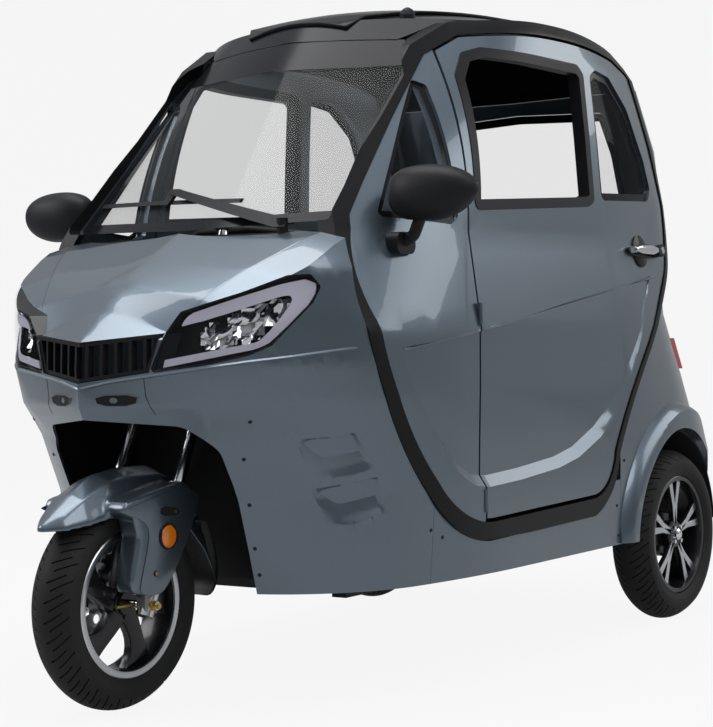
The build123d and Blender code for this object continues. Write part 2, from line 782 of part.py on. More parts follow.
def hinge_bar(radius, x0, x1):
    """Cylinder on the boot hinge line between two x positions."""
    with BuildPart() as bar:
        with BuildSketch(Plane.YZ.offset(x0)):
            with Locations((at(hinge_station), hinge_z)):
                Circle(radius)
        extrude(amount=x1 - x0)
    return bar.part


with BuildPart() as rear_body:
    with BuildSketch(Plane.YZ):
        add(side_face([(rear(sill_rear) + panel_gap, 150), (rear(sill_rear) + panel_gap, roof_split_z - 1),
                   (rear(500), roof_split_z - 1), (rear(500), 150)]))
        add(ring_face(seal_width), mode=Mode.SUBTRACT)
    extrude(amount=reach, both=True)
    add(tail_shell, mode=Mode.INTERSECT)
    add(flare.part)
    for x0, x1 in ((380, 700), (-700, -380)):
        add(wheel_drum(rear_arch_radius, x0, x1), mode=Mode.SUBTRACT)
    add(front_prism(rear_window_half, rear(0), rear(500), hatch_round), mode=Mode.SUBTRACT)
    add(front_prism(boot_half, rear(100), rear(500), hatch_round), mode=Mode.SUBTRACT)
    for x in (hinge_x, hinge_x + hinge_length - 10, -hinge_x - 10, -hinge_x - hinge_length):
        add(hinge_bar(hinge_knuckle, x, x + 10))
        add(block(x, x + 10, rear(190), hinge_station, hinge_z + 5, hinge_z + 14))
    for x in (hinge_x, -hinge_x - hinge_length):
        add(hinge_bar(hinge_pin, x, x + hinge_length))
rear_body.part.label = "rear_body"
export_step(rear_body.part, "parts/rear_body.step")

lid_gap = 6.0
glass_half = [(0, 1131), (329, 1131), (299, 1449), (0, 1464)]
lid_half = [(0, 526), (324, 526), (349, 700), (346, 1044), (0, 1044)]
with BuildPart() as rear_window:
    add(front_prism(glass_half, rear(0), rear(500), hatch_round))
    add(level_loft(glass_levels[:-1], "tail", 3, 3 + glass_wall), mode=Mode.INTERSECT)
rear_window.part.label = "rear_window"
export_step(rear_window.part, "parts/rear_window.step")

with BuildPart() as boot_lid:
    add(front_prism(lid_half, rear(100), rear(500), hatch_round - 3))
    add(tail_shell, mode=Mode.INTERSECT)
    for x0 in (hinge_x + 11, -hinge_x - hinge_length + 11):
        x1 = x0 + hinge_length - 22
        add(hinge_bar(hinge_knuckle, x0, x1))
        add(block(x0, x1, rear(190), hinge_station, hinge_z - 12, hinge_z - 4))
        add(hinge_bar(hinge_pin + 0.3, x0 - 1, x1 + 1), mode=Mode.SUBTRACT)
boot_lid.part.label = "boot_lid"
export_step(boot_lid.part, "parts/boot_lid.step")

with BuildPart() as tail_lamps:
    add(level_loft([row for row in body_levels if 670 < row.z < 870], "tail", -14, -0.3))
    add(block(398, 452, rear(120), rear(500), 700, 790), mode=Mode.INTERSECT)
    mirror(about=Plane.YZ)
tail_lamps.part.label = "tail_lamps"
export_step(tail_lamps.part, "parts/tail_lamps.step")

liner_radius = rear_arch_radius - 0.3
liner_hole = 90.0
liner_wall = 4.0
liner_x = 400.0
liner_out = 515.0
with BuildPart() as rear_liners:
    add(wheel_drum(liner_radius, liner_x, liner_out))
    add(wheel_drum(liner_radius - liner_wall, liner_x + liner_wall, liner_out + 60), mode=Mode.SUBTRACT)
    add(wheel_drum(liner_hole, liner_x - 10, liner_x + 20), mode=Mode.SUBTRACT)
    add(block(300, 700, rear(-500), rear(500), -400, skirt_z + 10), mode=Mode.SUBTRACT)
    mirror(about=Plane.YZ)
rear_liners.part.label = "rear_liners"
export_step(rear_liners.part, "parts/rear_liners.step")

# ---------------------------------------------------------------- wheels
rim_half = 44.0
bead_radius = 158.0
bead_low = bead_radius + 0.3
bead_high = rim_radius + 0.3
bead_x = rim_half - 1.4
hub_radius = 34.0
axle_radius = 9.0
axle_clearance = 0.3
spoke_count = 5
tyre_shoulder = 26.0


def tyre_solid(x, station):
    """Round-shouldered tyre on a wheel centre."""
    half = tyre_width / 2
    with BuildPart() as tyre:
        with BuildSketch(Plane.XY):
            with BuildLine():
                Polyline((x - bead_x, at(station) + bead_low), (x + bead_x, at(station) + bead_low),
                         (x + bead_x, at(station) + bead_high), (x + half - 10, at(station) + bead_high),
                         (x + half - 4, at(station) + bead_radius + 16))
                ThreePointArc((x + half - 4, at(station) + bead_radius + 16),
                              (x + half, at(station) + bead_radius + 42),
                              (x + half - 8, at(station) + wheel_radius - tyre_shoulder))
                ThreePointArc((x + half - 8, at(station) + wheel_radius - tyre_shoulder),
                              (x, at(station) + wheel_radius),
                              (x - half + 8, at(station) + wheel_radius - tyre_shoulder))
                ThreePointArc((x - half + 8, at(station) + wheel_radius - tyre_shoulder),
                              (x - half, at(station) + bead_radius + 42),
                              (x - half + 4, at(station) + bead_radius + 16))
                Polyline((x - half + 4, at(station) + bead_radius + 16), (x - half + 10, at(station) + bead_high),
                         (x - bead_x, at(station) + bead_high), (x - bead_x, at(station) + bead_low))
            make_face()
        revolve(axis=Axis((0, at(station), 0), (1, 0, 0)))
    return tyre.part.moved(Location((0, 0, wheel_radius)))


def rim_solid(x, station, bore, outward, spoke_width, pair_gap):
    """Cast rim: flanged barrel, hub and spokes; outward is +1 or -1 along X."""
    lip = rim_radius
    with BuildPart() as rim:
        with BuildSketch(Plane.XY):
            with BuildLine():
                Polyline(
                    (-rim_half - 4, lip), (-rim_half + 1, lip), (-rim_half, bead_radius), (rim_half, bead_radius),
                    (rim_half - 1, lip), (rim_half + 4, lip), (rim_half + 4, bead_radius - 8),
                    (rim_half - 10, bead_radius - 12), (-rim_half + 10, bead_radius - 12),
                    (-rim_half - 4, bead_radius - 8), close=True,
                )
            make_face()
            with BuildLine():
                Polyline((-34, bore), (34, bore), (34, hub_radius - 6), (20, hub_radius + 4),
                         (-20, hub_radius + 4), (-34, hub_radius - 6), close=True)
            make_face()
        revolve(axis=Axis.X)
        with BuildSketch(Plane.YZ.offset(outward * 6)):
            for number in range(spoke_count):
                for offset_y in ((-pair_gap, pair_gap) if pair_gap else (0,)):
                    with Locations(Rotation(0, 0, number * 360 / spoke_count)):
                        with Locations((offset_y, (hub_radius + bead_radius - 10) / 2)):
                            Rectangle(spoke_width, bead_radius - 10 - hub_radius)
        extrude(amount=outward * 18)
        with BuildSketch(Plane.YZ.offset(-60)):
            Circle(bore)
        extrude(amount=120, mode=Mode.SUBTRACT)
    return rim.part.moved(Location((x, at(station), wheel_radius)))


disc_radius = 85.0
disc_x = -62.0
with BuildPart() as front_tyre:
    add(tyre_solid(0, 0))
front_tyre.part.label = "front_tyre"
export_step(front_tyre.part, "parts/front_tyre.step")

with BuildPart() as front_rim:
    add(rim_solid(0, 0, axle_radius + axle_clearance, 1, 26, 0))
    with BuildSketch(Plane.YZ.offset(disc_x)):
        with Locations((at(0), wheel_radius)):
            Circle(disc_radius)
            Circle(axle_radius + axle_clearance, mode=Mode.SUBTRACT)
            with PolarLocations(disc_radius - 22, 8):
                Circle(7, mode=Mode.SUBTRACT)
    extrude(amount=4)
    with BuildSketch(Plane.YZ.offset(disc_x)):
        with Locations((at(0), wheel_radius)):
            Circle(28)
            Circle(axle_radius + axle_clearance, mode=Mode.SUBTRACT)
    extrude(amount=-disc_x - 33)
front_rim.part.label = "front_rim"
export_step(front_rim.part, "parts/front_rim.step")

rear_x = rear_track / 2
stub_radius = 14.0
for side, sign in (("left", 1), ("right", -1)):
    with BuildPart() as rear_tyre:
        add(tyre_solid(sign * rear_x, wheel_base))
    rear_tyre.part.label = "rear_tyre_" + side
    export_step(rear_tyre.part, "parts/rear_tyre_" + side + ".step")
    with BuildPart() as rear_rim:
        add(rim_solid(sign * rear_x, wheel_base, stub_radius + axle_clearance, sign, 13, 13))
        with BuildSketch(Plane.YZ.offset(sign * (rear_x + 33))):
            with Locations((at(wheel_base), wheel_radius)):
                Circle(26)
        extrude(amount=sign * 12, taper=12)
    rear_rim.part.label = "rear_rim_" + side
    export_step(rear_rim.part, "parts/rear_rim_" + side + ".step")

# ---------------------------------------------------------------- fork and steering
fork_plane = Plane(
    origin=(0, at(0), wheel_radius), x_dir=(1, 0, 0), z_dir=(0, sin(radians(rake)), cos(radians(rake)))
)
slider_radius = 20.0
slider_top = 250.0
clamp_low = 505.0
clamp_high = 790.0
clamp_height = 28.0
stem_radius = 16.0
stem_top = 940.0
head_radius = 27.0
head_low = clamp_low + clamp_height + 2
head_high = clamp_high - 2
bar_radius = 11.0


def fork_cylinder(x, y, radius, low, high):
    """Cylinder along the fork, its place given across and behind the stanchions."""
    with BuildPart() as cylinder:
        with BuildSketch(fork_plane.offset(low)):
            with Locations((x, y)):
                Circle(radius)
        extrude(amount=high - low)
    return cylinder.part


with BuildPart() as front_fork:
    for x in (-fork_half, fork_half):
        add(fork_cylinder(x, 0, stanchion_radius, slider_top - 40, clamp_high))
        add(fork_cylinder(x, 0, slider_radius, -26, slider_top))
    for low in (clamp_low, clamp_high - clamp_height):
        with BuildSketch(fork_plane.offset(low)):
            with Locations((0, 8)):
                RectangleRounded(2 * fork_half + 56, 70, 20)
            with Locations((0, steering_offset)):
                Circle(head_radius + 4)
        extrude(amount=clamp_height)
    add(fork_cylinder(0, steering_offset, stem_radius, clamp_low, stem_top))
    with BuildSketch(Plane.YZ.offset(-fork_half - 30)):
        with Locations((at(0), wheel_radius)):
            Circle(axle_radius)
    extrude(amount=2 * fork_half + 60)
front_fork.part.label = "front_fork"
export_step(front_fork.part, "parts/front_fork.step")

bar_plane = fork_plane.offset(stem_top - 14)
with BuildPart() as handlebar:
    with BuildLine(bar_plane):
        path = FilletPolyline(
            (-265, steering_offset + 100, 30), (-150, steering_offset + 60, 30), (-70, steering_offset, 14),
            (70, steering_offset, 14), (150, steering_offset + 60, 30), (265, steering_offset + 100, 30),
            radius=30,
        )
    with BuildSketch(Plane(path @ 0, z_dir=path % 0)):
        Circle(bar_radius)
    sweep()
    add(fork_cylinder(0, steering_offset, stem_radius + 8, stem_top, stem_top + 14))
    add(front_fork.part, mode=Mode.SUBTRACT)
handlebar.part.label = "handlebar"
export_step(handlebar.part, "parts/handlebar.step")

with BuildPart() as brake_caliper:
    with BuildSketch(Plane.YZ.offset(disc_x - 18)):
        with Locations((at(0) + 62, wheel_radius + 42)):
            with Locations(Rotation(0, 0, 35)):
                RectangleRounded(60, 74, 12)
    extrude(amount=40)
    with BuildSketch(Plane.YZ.offset(disc_x - 1.5)):
        with Locations((at(0), wheel_radius)):
            Circle(disc_radius + 6)
    extrude(amount=7, mode=Mode.SUBTRACT)
    add(front_fork.part, mode=Mode.SUBTRACT)
brake_caliper.part.label = "brake_caliper"
export_step(brake_caliper.part, "parts/brake_caliper.step")

# Mudguard cross sections: station, ridge height, crease x and height, edge x and height.
Guard = namedtuple("Guard", "station ridge crease_x crease_z edge_x edge_z")
guard_ribs = [
    Guard(-236, 431, 5, 429, 9, 425),
    Guard(-200, 458, 30, 449, 42, 427),
    Guard(-150, 492, 44, 480, 62, 434),
    Guard(-70, 530, 50, 512, 72, 446),
    Guard(20, 541, 52, 522, 73, 452),
    Guard(110, 540, 52, 518, 73, 440),
    Guard(180, 513, 50, 492, 70, 398),
    Guard(235, 452, 48, 434, 68, 340),
    Guard(268, 372, 46, 358, 66, 290),
    Guard(284, 290, 44, 282, 64, 248),
]
guard_wall = 4.0
tyre_room = [(-65, 0), (65, 0), (65, 216), (44, 245), (-44, 245), (-65, 216)]
leg_cover_x = 119.0
leg_cover = [
    (-104, 450), (-88, 474), (22, 494), (106, 506), (148, 474), (122, 416), (78, 352), (26, 276), (-18, 264),
    (-72, 272), (-78, 298), (-52, 392), (-64, 434),
]


def guard_solid(drop):
    """Solid under the mudguard surface, its surface lowered and narrowed by drop."""
    with BuildPart() as solid:
        for rib in guard_ribs:
            edge_x = max(rib.edge_x - drop, 1.5)
            crease_x = min(max(rib.crease_x - 0.6 * drop, 1.0), edge_x - 0.4)
            with BuildSketch(Plane.XZ.offset(-at(rib.station + 0.6 * drop))):
                with BuildLine():
                    Polyline(
                        (0, rib.edge_z - 12 - 20 * drop), (edge_x, rib.edge_z - 12 - 20 * drop), (edge_x, rib.edge_z - drop),
                        (crease_x, rib.crease_z - drop), (0, rib.ridge - drop),
                    )
                    mirror(about=Plane.YZ)
                make_face()
        loft(ruled=True)
    return solid.part


with BuildPart() as front_fender:
    add(guard_solid(0))
    add(guard_solid(guard_wall), mode=Mode.SUBTRACT)
    for side in (-1, 1):
        with BuildSketch(Plane.YZ.offset(side * 62)):
            add(side_face(leg_cover, 10))
        extrude(amount=side * (leg_cover_x - 62))
    with BuildSketch(Plane.XY.offset(wheel_radius)):
        with BuildLine():
            Polyline([(x, at(0) + r) for x, r in tyre_room], close=True)
        make_face()
    revolve(axis=Axis((0, at(0), wheel_radius), (1, 0, 0)), mode=Mode.SUBTRACT)
    for side in (-1, 1):
        add(fork_cylinder(side * fork_half, 0, slider_radius + 0.3, -60, slider_top + 200), mode=Mode.SUBTRACT)
        outer = sorted((side * 74, side * 150))
        add(block(outer[0], outer[1], 40, 200, 240, 470), mode=Mode.SUBTRACT)
    add(block(-84, -60, 10, 130, 225, 335), mode=Mode.SUBTRACT)
    with BuildSketch(Plane.YZ.offset(-fork_half - 60)):
        with Locations((at(0), wheel_radius)):
            Circle(26)
    extrude(amount=2 * fork_half + 120, mode=Mode.SUBTRACT)
front_fender.part.label = "front_fender"
export_step(front_fender.part, "parts/front_fender.step")

# ---------------------------------------------------------------- chassis
rail_x = 300.0
rail_w = 40.0
rail_low = 212.0
rail_h = 56.0
rail_top = rail_low + rail_h
rail_front = 440.0
rail_rear = rear(-340)
kick_z = 400.0
tail_rail = rear(270)
cross_stations = [rail_front + 20, 900, rail_rear - 20]
neck_x = 46.0
neck_radius = 17.0
axle_tube_radius = 30.0
motor_radius = 88.0
motor_half = 90.0
spring_x = 300.0
spring_w = 45.0
spring_leaf = 8.0
spring_z = wheel_radius + axle_tube_radius + 0.3

with BuildPart() as chassis:
    with BuildSketch(Plane.YZ.offset(rail_x - rail_w / 2)):
        with BuildLine():
            Polyline(
                (at(rail_front), rail_low), (at(rail_rear), rail_low), (at(rail_rear + 110), kick_z),
                (at(tail_rail), kick_z), (at(tail_rail), kick_z + rail_h), (at(rail_rear + 84), kick_z + rail_h),
                (at(rail_rear - 24), rail_top), (at(rail_front), rail_top), close=True,
            )
        make_face()
    extrude(amount=rail_w)
    mirror(about=Plane.YZ)
    for station in cross_stations:
        add(block(-rail_x, rail_x, station - 20, station + 20, rail_low + 8, rail_top - 8))
    for station in (rail_rear + 140, tail_rail - 30):
        add(block(-rail_x, rail_x, station - 20, station + 20, kick_z + 8, kick_z + rail_h - 8))
    for x in (-neck_x, neck_x):
        with BuildLine():
            neck = FilletPolyline(
                (x, at(rail_front + 20), rail_low + 20), (x, at(rail_front + 20), 600),
                (x * 0.35, at(302), 805), radius=60,
            )
        with BuildSketch(Plane(neck @ 0, z_dir=neck % 0)):
            Circle(neck_radius)
        sweep()
    add(fork_cylinder(0, steering_offset, head_radius, head_low, head_high - clamp_height))
    add(fork_cylinder(0, steering_offset, stem_radius + 0.3, head_low - 5, head_high), mode=Mode.SUBTRACT)
chassis.part.label = "chassis"
export_step(chassis.part, "parts/chassis.step")

with BuildPart() as rear_axle:
    with BuildSketch(Plane.YZ.offset(-rear_x + 60)):
        with Locations((at(wheel_base), wheel_radius)):
            Circle(axle_tube_radius)
    extrude(amount=2 * rear_x - 120)
    with BuildSketch(Plane.YZ.offset(-rear_x - 30)):
        with Locations((at(wheel_base), wheel_radius)):
            Circle(stub_radius)
    extrude(amount=2 * rear_x + 60)
    with BuildSketch(Plane.YZ.offset(-motor_half + 30)):
        with Locations((at(wheel_base), wheel_radius)):
            Circle(motor_radius)
    extrude(amount=2 * motor_half)
    add(wheel_drum(motor_radius - 14, motor_half + 30, motor_half + 110))
    for sign in (-1, 1):
        add(wheel_drum(78, min(sign * (rear_x - 66), sign * (rear_x - 100)),
                       max(sign * (rear_x - 66), sign * (rear_x - 100))))
rear_axle.part.label = "rear_axle"
export_step(rear_axle.part, "parts/rear_axle.step")

with BuildPart() as rear_springs:
    for number, length in enumerate((220, 170, 120)):
        low = spring_z + 3 * spring_leaf - (number + 1) * spring_leaf
        add(block(rail_x - spring_w / 2, rail_x + spring_w / 2, rear(-length), rear(length), low, low + spring_leaf))
    for s in (rear(-212), rear(212)):
        add(block(rail_x - spring_w / 2, rail_x + spring_w / 2, s - 8, s + 8, spring_z + 3 * spring_leaf - 1, kick_z - 0.3))
    mirror(about=Plane.YZ)
rear_springs.part.label = "rear_springs"
export_step(rear_springs.part, "parts/rear_springs.step")

# ---------------------------------------------------------------- floor, seats, dashboard
floor_wall = 6.0
floor_low = rail_top + 0.3
tub_front = 480.5
tub_rear = rail_rear - 26
tub_half = 470.0
well_half = 262.0
well_back = 385.0
well_top = 690.0
with BuildPart() as floor_tub:
    add(block(-reach, reach, tub_front, tub_rear, floor_low, floor_low + floor_wall))
    add(level_loft(body_levels[:3], "full", shell_wall + 0.3), mode=Mode.INTERSECT)
    add(block(-tub_half, tub_half, tub_front, tub_front + floor_wall, floor_low, 620))
    add(block(-tub_half + 40, tub_half - 40, tub_rear - floor_wall, tub_rear, floor_low, kick_z + rail_h))
floor_tub.part.label = "floor_tub"
export_step(floor_tub.part, "parts/floor_tub.step")

with BuildPart() as wheel_liner:
    add(block(-well_half, well_half, 60, well_back, skirt_z + 4, well_top))
    add(block(-well_half + 4, well_half - 4, 40, well_back - 4, skirt_z - 10, well_top - 4), mode=Mode.SUBTRACT)
    add(body_inner & nose_inner, mode=Mode.INTERSECT)
    add(fork_cylinder(0, steering_offset, 160, 300, 900), mode=Mode.SUBTRACT)
wheel_liner.part.label = "wheel_liner"
export_step(wheel_liner.part, "parts/wheel_liner.step")

battery_top = floor_low + floor_wall + 210
with BuildPart() as battery_pack:
    add(block(-220, 220, 1040, tub_rear - floor_wall - 8, floor_low + floor_wall + 0.3, battery_top))
battery_pack.part.label = "battery_pack"
export_step(battery_pack.part, "parts/battery_pack.step")

seat_base_z = battery_top + 0.3
rear_base_z = kick_z + rail_h + 0.3
with BuildPart() as seat_front:
    with BuildSketch(Plane.YZ.offset(-230)) as profile:
        with BuildLine():
            Polyline(
                (at(960), seat_base_z), (at(1400), seat_base_z), (at(1470), 1060), (at(1400), 1075),
                (at(1330), seat_base_z + 130), (at(980), seat_base_z + 120), close=True,
            )
        make_face()
        fillet(profile.vertices(), 25)
    extrude(amount=460)
seat_front.part.label = "seat_front"
export_step(seat_front.part, "parts/seat_front.step")

with BuildPart() as seat_rear:
    with BuildSketch(Plane.YZ.offset(-330)) as profile:
        with BuildLine():
            Polyline(
                (at(rear(-290)), rear_base_z), (at(rear(30)), rear_base_z), (at(rear(80)), 920), (at(rear(30)), 930),
                (at(rear(-40)), 590), (at(rear(-285)), 580), close=True,
            )
        make_face()
        fillet(profile.vertices(), 22)
    extrude(amount=660)
seat_rear.part.label = "seat_rear"
export_step(seat_rear.part, "parts/seat_rear.step")

dash_half = 440.0
clamp_sweep = 150.0
with BuildPart() as dashboard:
    add(block(-dash_half, dash_half, 268, 425, 840, 1062))
    add(level_loft(cabin_levels, "full", door_wall + 0.3) & screen_cone(roof_wall + 6), mode=Mode.INTERSECT)
    add(fork_cylinder(0, steering_offset, 60, 500, 1200), mode=Mode.SUBTRACT)
    add(fork_cylinder(0, steering_offset, clamp_sweep, 600, clamp_high + 22), mode=Mode.SUBTRACT)
    add(block(-60, 60, 380, 480, 830, 1070), mode=Mode.SUBTRACT)
    add(nose_solid(shell_wall + 4), mode=Mode.INTERSECT)
dashboard.part.label = "dashboard"
export_step(dashboard.part, "parts/dashboard.step")

# ---------------------------------------------------------------- mirrors
mirror_station = 452.0
mirror_z = 1140.0
with BuildPart() as mirror_arms:
    with BuildSketch(Plane.YZ.offset(440)):
        with Locations((at(mirror_station), 1030)):
            RectangleRounded(76, 50, 20)
    extrude(amount=60)
    with BuildLine():
        arm = FilletPolyline(
            (482, at(mirror_station), 1030), (520, at(mirror_station), 1046), (545, at(mirror_station), 1100),
            radius=20,
        )
    with BuildSketch(Plane(arm @ 0, z_dir=arm % 0)):
        Circle(14)
    sweep()
    add(level_loft([row for row in cabin_levels if row.z > 800][:3], "full", 0), mode=Mode.SUBTRACT)
    mirror(about=Plane.YZ)
mirror_arms.part.label = "mirror_arms"
export_step(mirror_arms.part, "parts/mirror_arms.step")

# Sections of the mirror shell outwards: x, half depth, half height, corner radius.
mirror_sections = [(462, 28, 44, 18), (484, 44, 58, 26), (590, 52, 65, 30), (656, 44, 58, 28), (686, 20, 34, 16)]
mirror_glass_station = 478.0
with BuildPart() as mirror_heads:
    for x, deep, tall, corner in mirror_sections:
        with BuildSketch(Plane.YZ.offset(x)):
            with Locations((at(mirror_station), mirror_z)):
                RectangleRounded(2 * deep, 2 * tall, corner)
    loft()
    add(block(400, 720, mirror_glass_station, 620, 1000, 1300), mode=Mode.SUBTRACT)
    mirror(about=Plane.YZ)
    add(mirror_arms.part, mode=Mode.SUBTRACT)
mirror_heads.part.label = "mirror_heads"
export_step(mirror_heads.part, "parts/mirror_heads.step")

# ---------------------------------------------------------------- wiper
wiper_arm = [(288, 1072), (262, 1072), (-92, 1170), (-88, 1180), (-70, 1180), (282, 1092)]
wiper_link = [(-96, 1141), (-96, 1180), (-70, 1180), (-76, 1141)]
wiper_blade = [(-362, 1150), (131, 1136), (131, 1146), (-362, 1160)]


def screen_strip(points, low, high):
    """Strip lying over the windscreen cone between two heights off its surface."""
    with BuildPart() as strip:
        with BuildSketch(Plane.XZ.offset(-at(-200))):
            with BuildLine():
                Polyline(points, close=True)
            make_face()
        extrude(amount=-900)
        add(screen_cone(-high), mode=Mode.INTERSECT)
        add(screen_cone(-low), mode=Mode.SUBTRACT)
    return strip.part


with BuildPart() as wiper:
    add(screen_strip(wiper_arm, 14, 21))
    add(screen_strip(wiper_link, 5, 18))
    add(screen_strip(wiper_blade, -screen_in + 0.3, 9))
    with BuildSketch(Plane.XY.offset(1030)):
        with Locations((275, at(284))):
            Circle(13)
    extrude(amount=62)
    add(nose_solid(-0.3), mode=Mode.SUBTRACT)
wiper.part.label = "wiper"
export_step(wiper.part, "parts/wiper.step")
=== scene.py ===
"""Three wheeled cabin car: finishes, fitted pieces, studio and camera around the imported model.

Metres. The car faces -Y, +X is its left side and +Z is up. Each sub-assembly is a class
whose fields are its sizes; main() builds them in order.
"""
from __future__ import annotations

import json
import logging
import math
import random
from dataclasses import dataclass
from enum import Enum
from typing import Iterable, Sequence

import bmesh
import bpy
from bmesh.types import BMEdge, BMesh, BMFace, BMVert
from mathutils import Matrix, Vector, geometry
from mathutils.bvhtree import BVHTree

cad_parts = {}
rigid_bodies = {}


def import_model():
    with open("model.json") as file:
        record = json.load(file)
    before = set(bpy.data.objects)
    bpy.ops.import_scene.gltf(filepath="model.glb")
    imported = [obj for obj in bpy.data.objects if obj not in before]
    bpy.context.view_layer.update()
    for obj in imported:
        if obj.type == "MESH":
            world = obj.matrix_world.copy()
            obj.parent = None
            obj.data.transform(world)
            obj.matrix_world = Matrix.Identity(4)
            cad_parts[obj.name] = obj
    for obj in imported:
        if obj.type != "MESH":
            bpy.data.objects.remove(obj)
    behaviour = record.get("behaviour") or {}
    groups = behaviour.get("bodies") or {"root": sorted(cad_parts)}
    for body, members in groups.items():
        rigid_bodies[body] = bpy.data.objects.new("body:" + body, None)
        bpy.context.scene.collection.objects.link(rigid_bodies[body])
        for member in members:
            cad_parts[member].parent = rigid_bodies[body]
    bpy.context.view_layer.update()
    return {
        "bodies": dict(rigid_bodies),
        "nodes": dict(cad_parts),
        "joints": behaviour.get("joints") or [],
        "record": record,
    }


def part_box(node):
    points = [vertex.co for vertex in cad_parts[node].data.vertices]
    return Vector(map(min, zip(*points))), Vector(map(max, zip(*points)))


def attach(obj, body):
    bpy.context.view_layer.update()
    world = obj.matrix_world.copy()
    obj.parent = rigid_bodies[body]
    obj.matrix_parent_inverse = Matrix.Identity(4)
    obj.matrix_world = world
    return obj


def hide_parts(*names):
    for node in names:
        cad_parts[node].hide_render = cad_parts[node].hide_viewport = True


LOG = logging.getLogger("three_wheeled_car")
Colour = tuple[float, float, float]
Point = tuple[float, float, float]
Flat = tuple[float, float]

WHEEL_RADIUS = 0.238
WHEEL_BASE = 1.770
RAKE = math.radians(24.5)
WELD = 0.00001
COAT_ROUGHNESS = 0.03


class Body(str, Enum):
    """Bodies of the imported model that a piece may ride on."""

    CAR = "car_body"
    STEERING = "steering"
    FRONT_WHEEL = "front_wheel"
    REAR_LEFT = "rear_wheel_left"
    REAR_RIGHT = "rear_wheel_right"
    LEFT_DOOR = "left_door"
    RIGHT_DOOR = "right_door"
    BOOT = "boot"


DOOR_SIDES = ((1, "left", Body.LEFT_DOOR), (-1, "right", Body.RIGHT_DOOR))


# ------------------------------------------------------------------ shader building blocks
class Tree:
    """Short way to add and join nodes in one node tree."""

    def __init__(self, tree: bpy.types.NodeTree) -> None:
        """Keep the tree that the nodes go into."""
        self.tree = tree

    def add(self, kind: str, values: dict[str | int, object] | None = None,
            **settings: object) -> bpy.types.Node:
        """Add a node.

        Args:
            kind: Blender's node type, without the ShaderNode prefix unless it has its own.
            values: what the node's inputs are set to.
            settings: attributes to set on the node.

        Returns:
            The new node.
        """
        prefix = "" if kind.startswith(("NodeGroup", "Geometry", "Function")) else "ShaderNode"
        node = self.tree.nodes.new(prefix + kind)
        for key, value in settings.items():
            setattr(node, key, value)
        self.fill(node, values or {})
        return node

    @staticmethod
    def fill(node: bpy.types.Node, values: dict[str | int, object]) -> None:
        """Set the inputs of a node."""
        for label, value in values.items():
            node.inputs[label].default_value = value

    def join(self, *pairs: tuple[bpy.types.NodeSocket, bpy.types.NodeSocket]) -> None:
        """Link the first socket of each pair to its second."""
        for source, target in pairs:
            self.tree.links.new(source, target)


def new_group(name: str, inputs: dict[str, float],
              outputs: dict[str, str]) -> tuple[Tree, bpy.types.Node, bpy.types.Node]:
    """Start a shader node group with named sockets.

    Args:
        name: the group's name.
        inputs: float inputs and their default values.
        outputs: outputs and their socket types.

    Returns:
        The tree helper, the group's input node and its output node.
    """
    group = bpy.data.node_groups.new(name, "ShaderNodeTree")
    group.interface.new_socket("Position", in_out="INPUT", socket_type="NodeSocketVector")
    for label, value in inputs.items():
        socket = group.interface.new_socket(label, in_out="INPUT", socket_type="NodeSocketFloat")
        socket.default_value = value
    for label, kind in outputs.items():
        group.interface.new_socket(label, in_out="OUTPUT", socket_type=kind)
    tree = Tree(group)
    return tree, tree.add("NodeGroupInput"), tree.add("NodeGroupOutput")


class Effects:
    """Shader node groups that several finishes share, each built once."""

    def __init__(self) -> None:
        """Build the groups."""
        self.film = self.build_film()
        self.grain = self.build_grain()

    @staticmethod
    def build_film() -> bpy.types.NodeTree:
        """Uneven film of dust and handling: a soft mask with finer mottling in it."""
        tree, inputs, outputs = new_group(
            "surface_film", {"Scale": 3.0, "Contrast": 0.5}, {"Mask": "NodeSocketFloat"}
        )
        broad = tree.add("TexNoise", {"Detail": 4.0})
        fine = tree.add("TexNoise", {"Detail": 2.0})
        finer = tree.add("Math", {1: 14.0}, operation="MULTIPLY")
        mixed = tree.add("Math", {1: 0.25}, operation="MULTIPLY_ADD")
        ramp = tree.add("MapRange", {"From Min": 0.35, "From Max": 0.95})
        scaled = tree.add("Math", operation="MULTIPLY")
        place, scale = inputs.outputs["Position"], inputs.outputs["Scale"]
        tree.join(
            (place, broad.inputs["Vector"]), (place, fine.inputs["Vector"]),
            (scale, broad.inputs["Scale"]), (scale, finer.inputs[0]),
            (finer.outputs[0], fine.inputs["Scale"]), (fine.outputs["Fac"], mixed.inputs[0]),
            (broad.outputs["Fac"], mixed.inputs[2]), (mixed.outputs[0], ramp.inputs["Value"]),
            (ramp.outputs["Result"], scaled.inputs[0]),
            (inputs.outputs["Contrast"], scaled.inputs[1]), (scaled.outputs[0], outputs.inputs["Mask"]),
        )
        return tree.tree

    @staticmethod
    def build_grain() -> bpy.types.NodeTree:
        """Pebbled relief of moulded plastic, rubber, castings and coated cloth."""
        tree, inputs, outputs = new_group(
            "pebble_grain", {"Scale": 400.0, "Depth": 1.0}, {"Height": "NodeSocketFloat"}
        )
        cells = tree.add("TexVoronoi", {"Smoothness": 0.7}, feature="SMOOTH_F1")
        noise = tree.add("TexNoise", {"Detail": 3.0})
        blend = tree.add("Math", {1: 0.5}, operation="MULTIPLY_ADD")
        scaled = tree.add("Math", operation="MULTIPLY")
        for texture in (cells, noise):
            tree.join((inputs.outputs["Position"], texture.inputs["Vector"]),
                      (inputs.outputs["Scale"], texture.inputs["Scale"]))
        tree.join(
            (noise.outputs["Fac"], blend.inputs[0]), (cells.outputs["Distance"], blend.inputs[2]),
            (blend.outputs[0], scaled.inputs[0]), (inputs.outputs["Depth"], scaled.inputs[1]),
            (scaled.outputs[0], outputs.inputs["Height"]),
        )
        return tree.tree


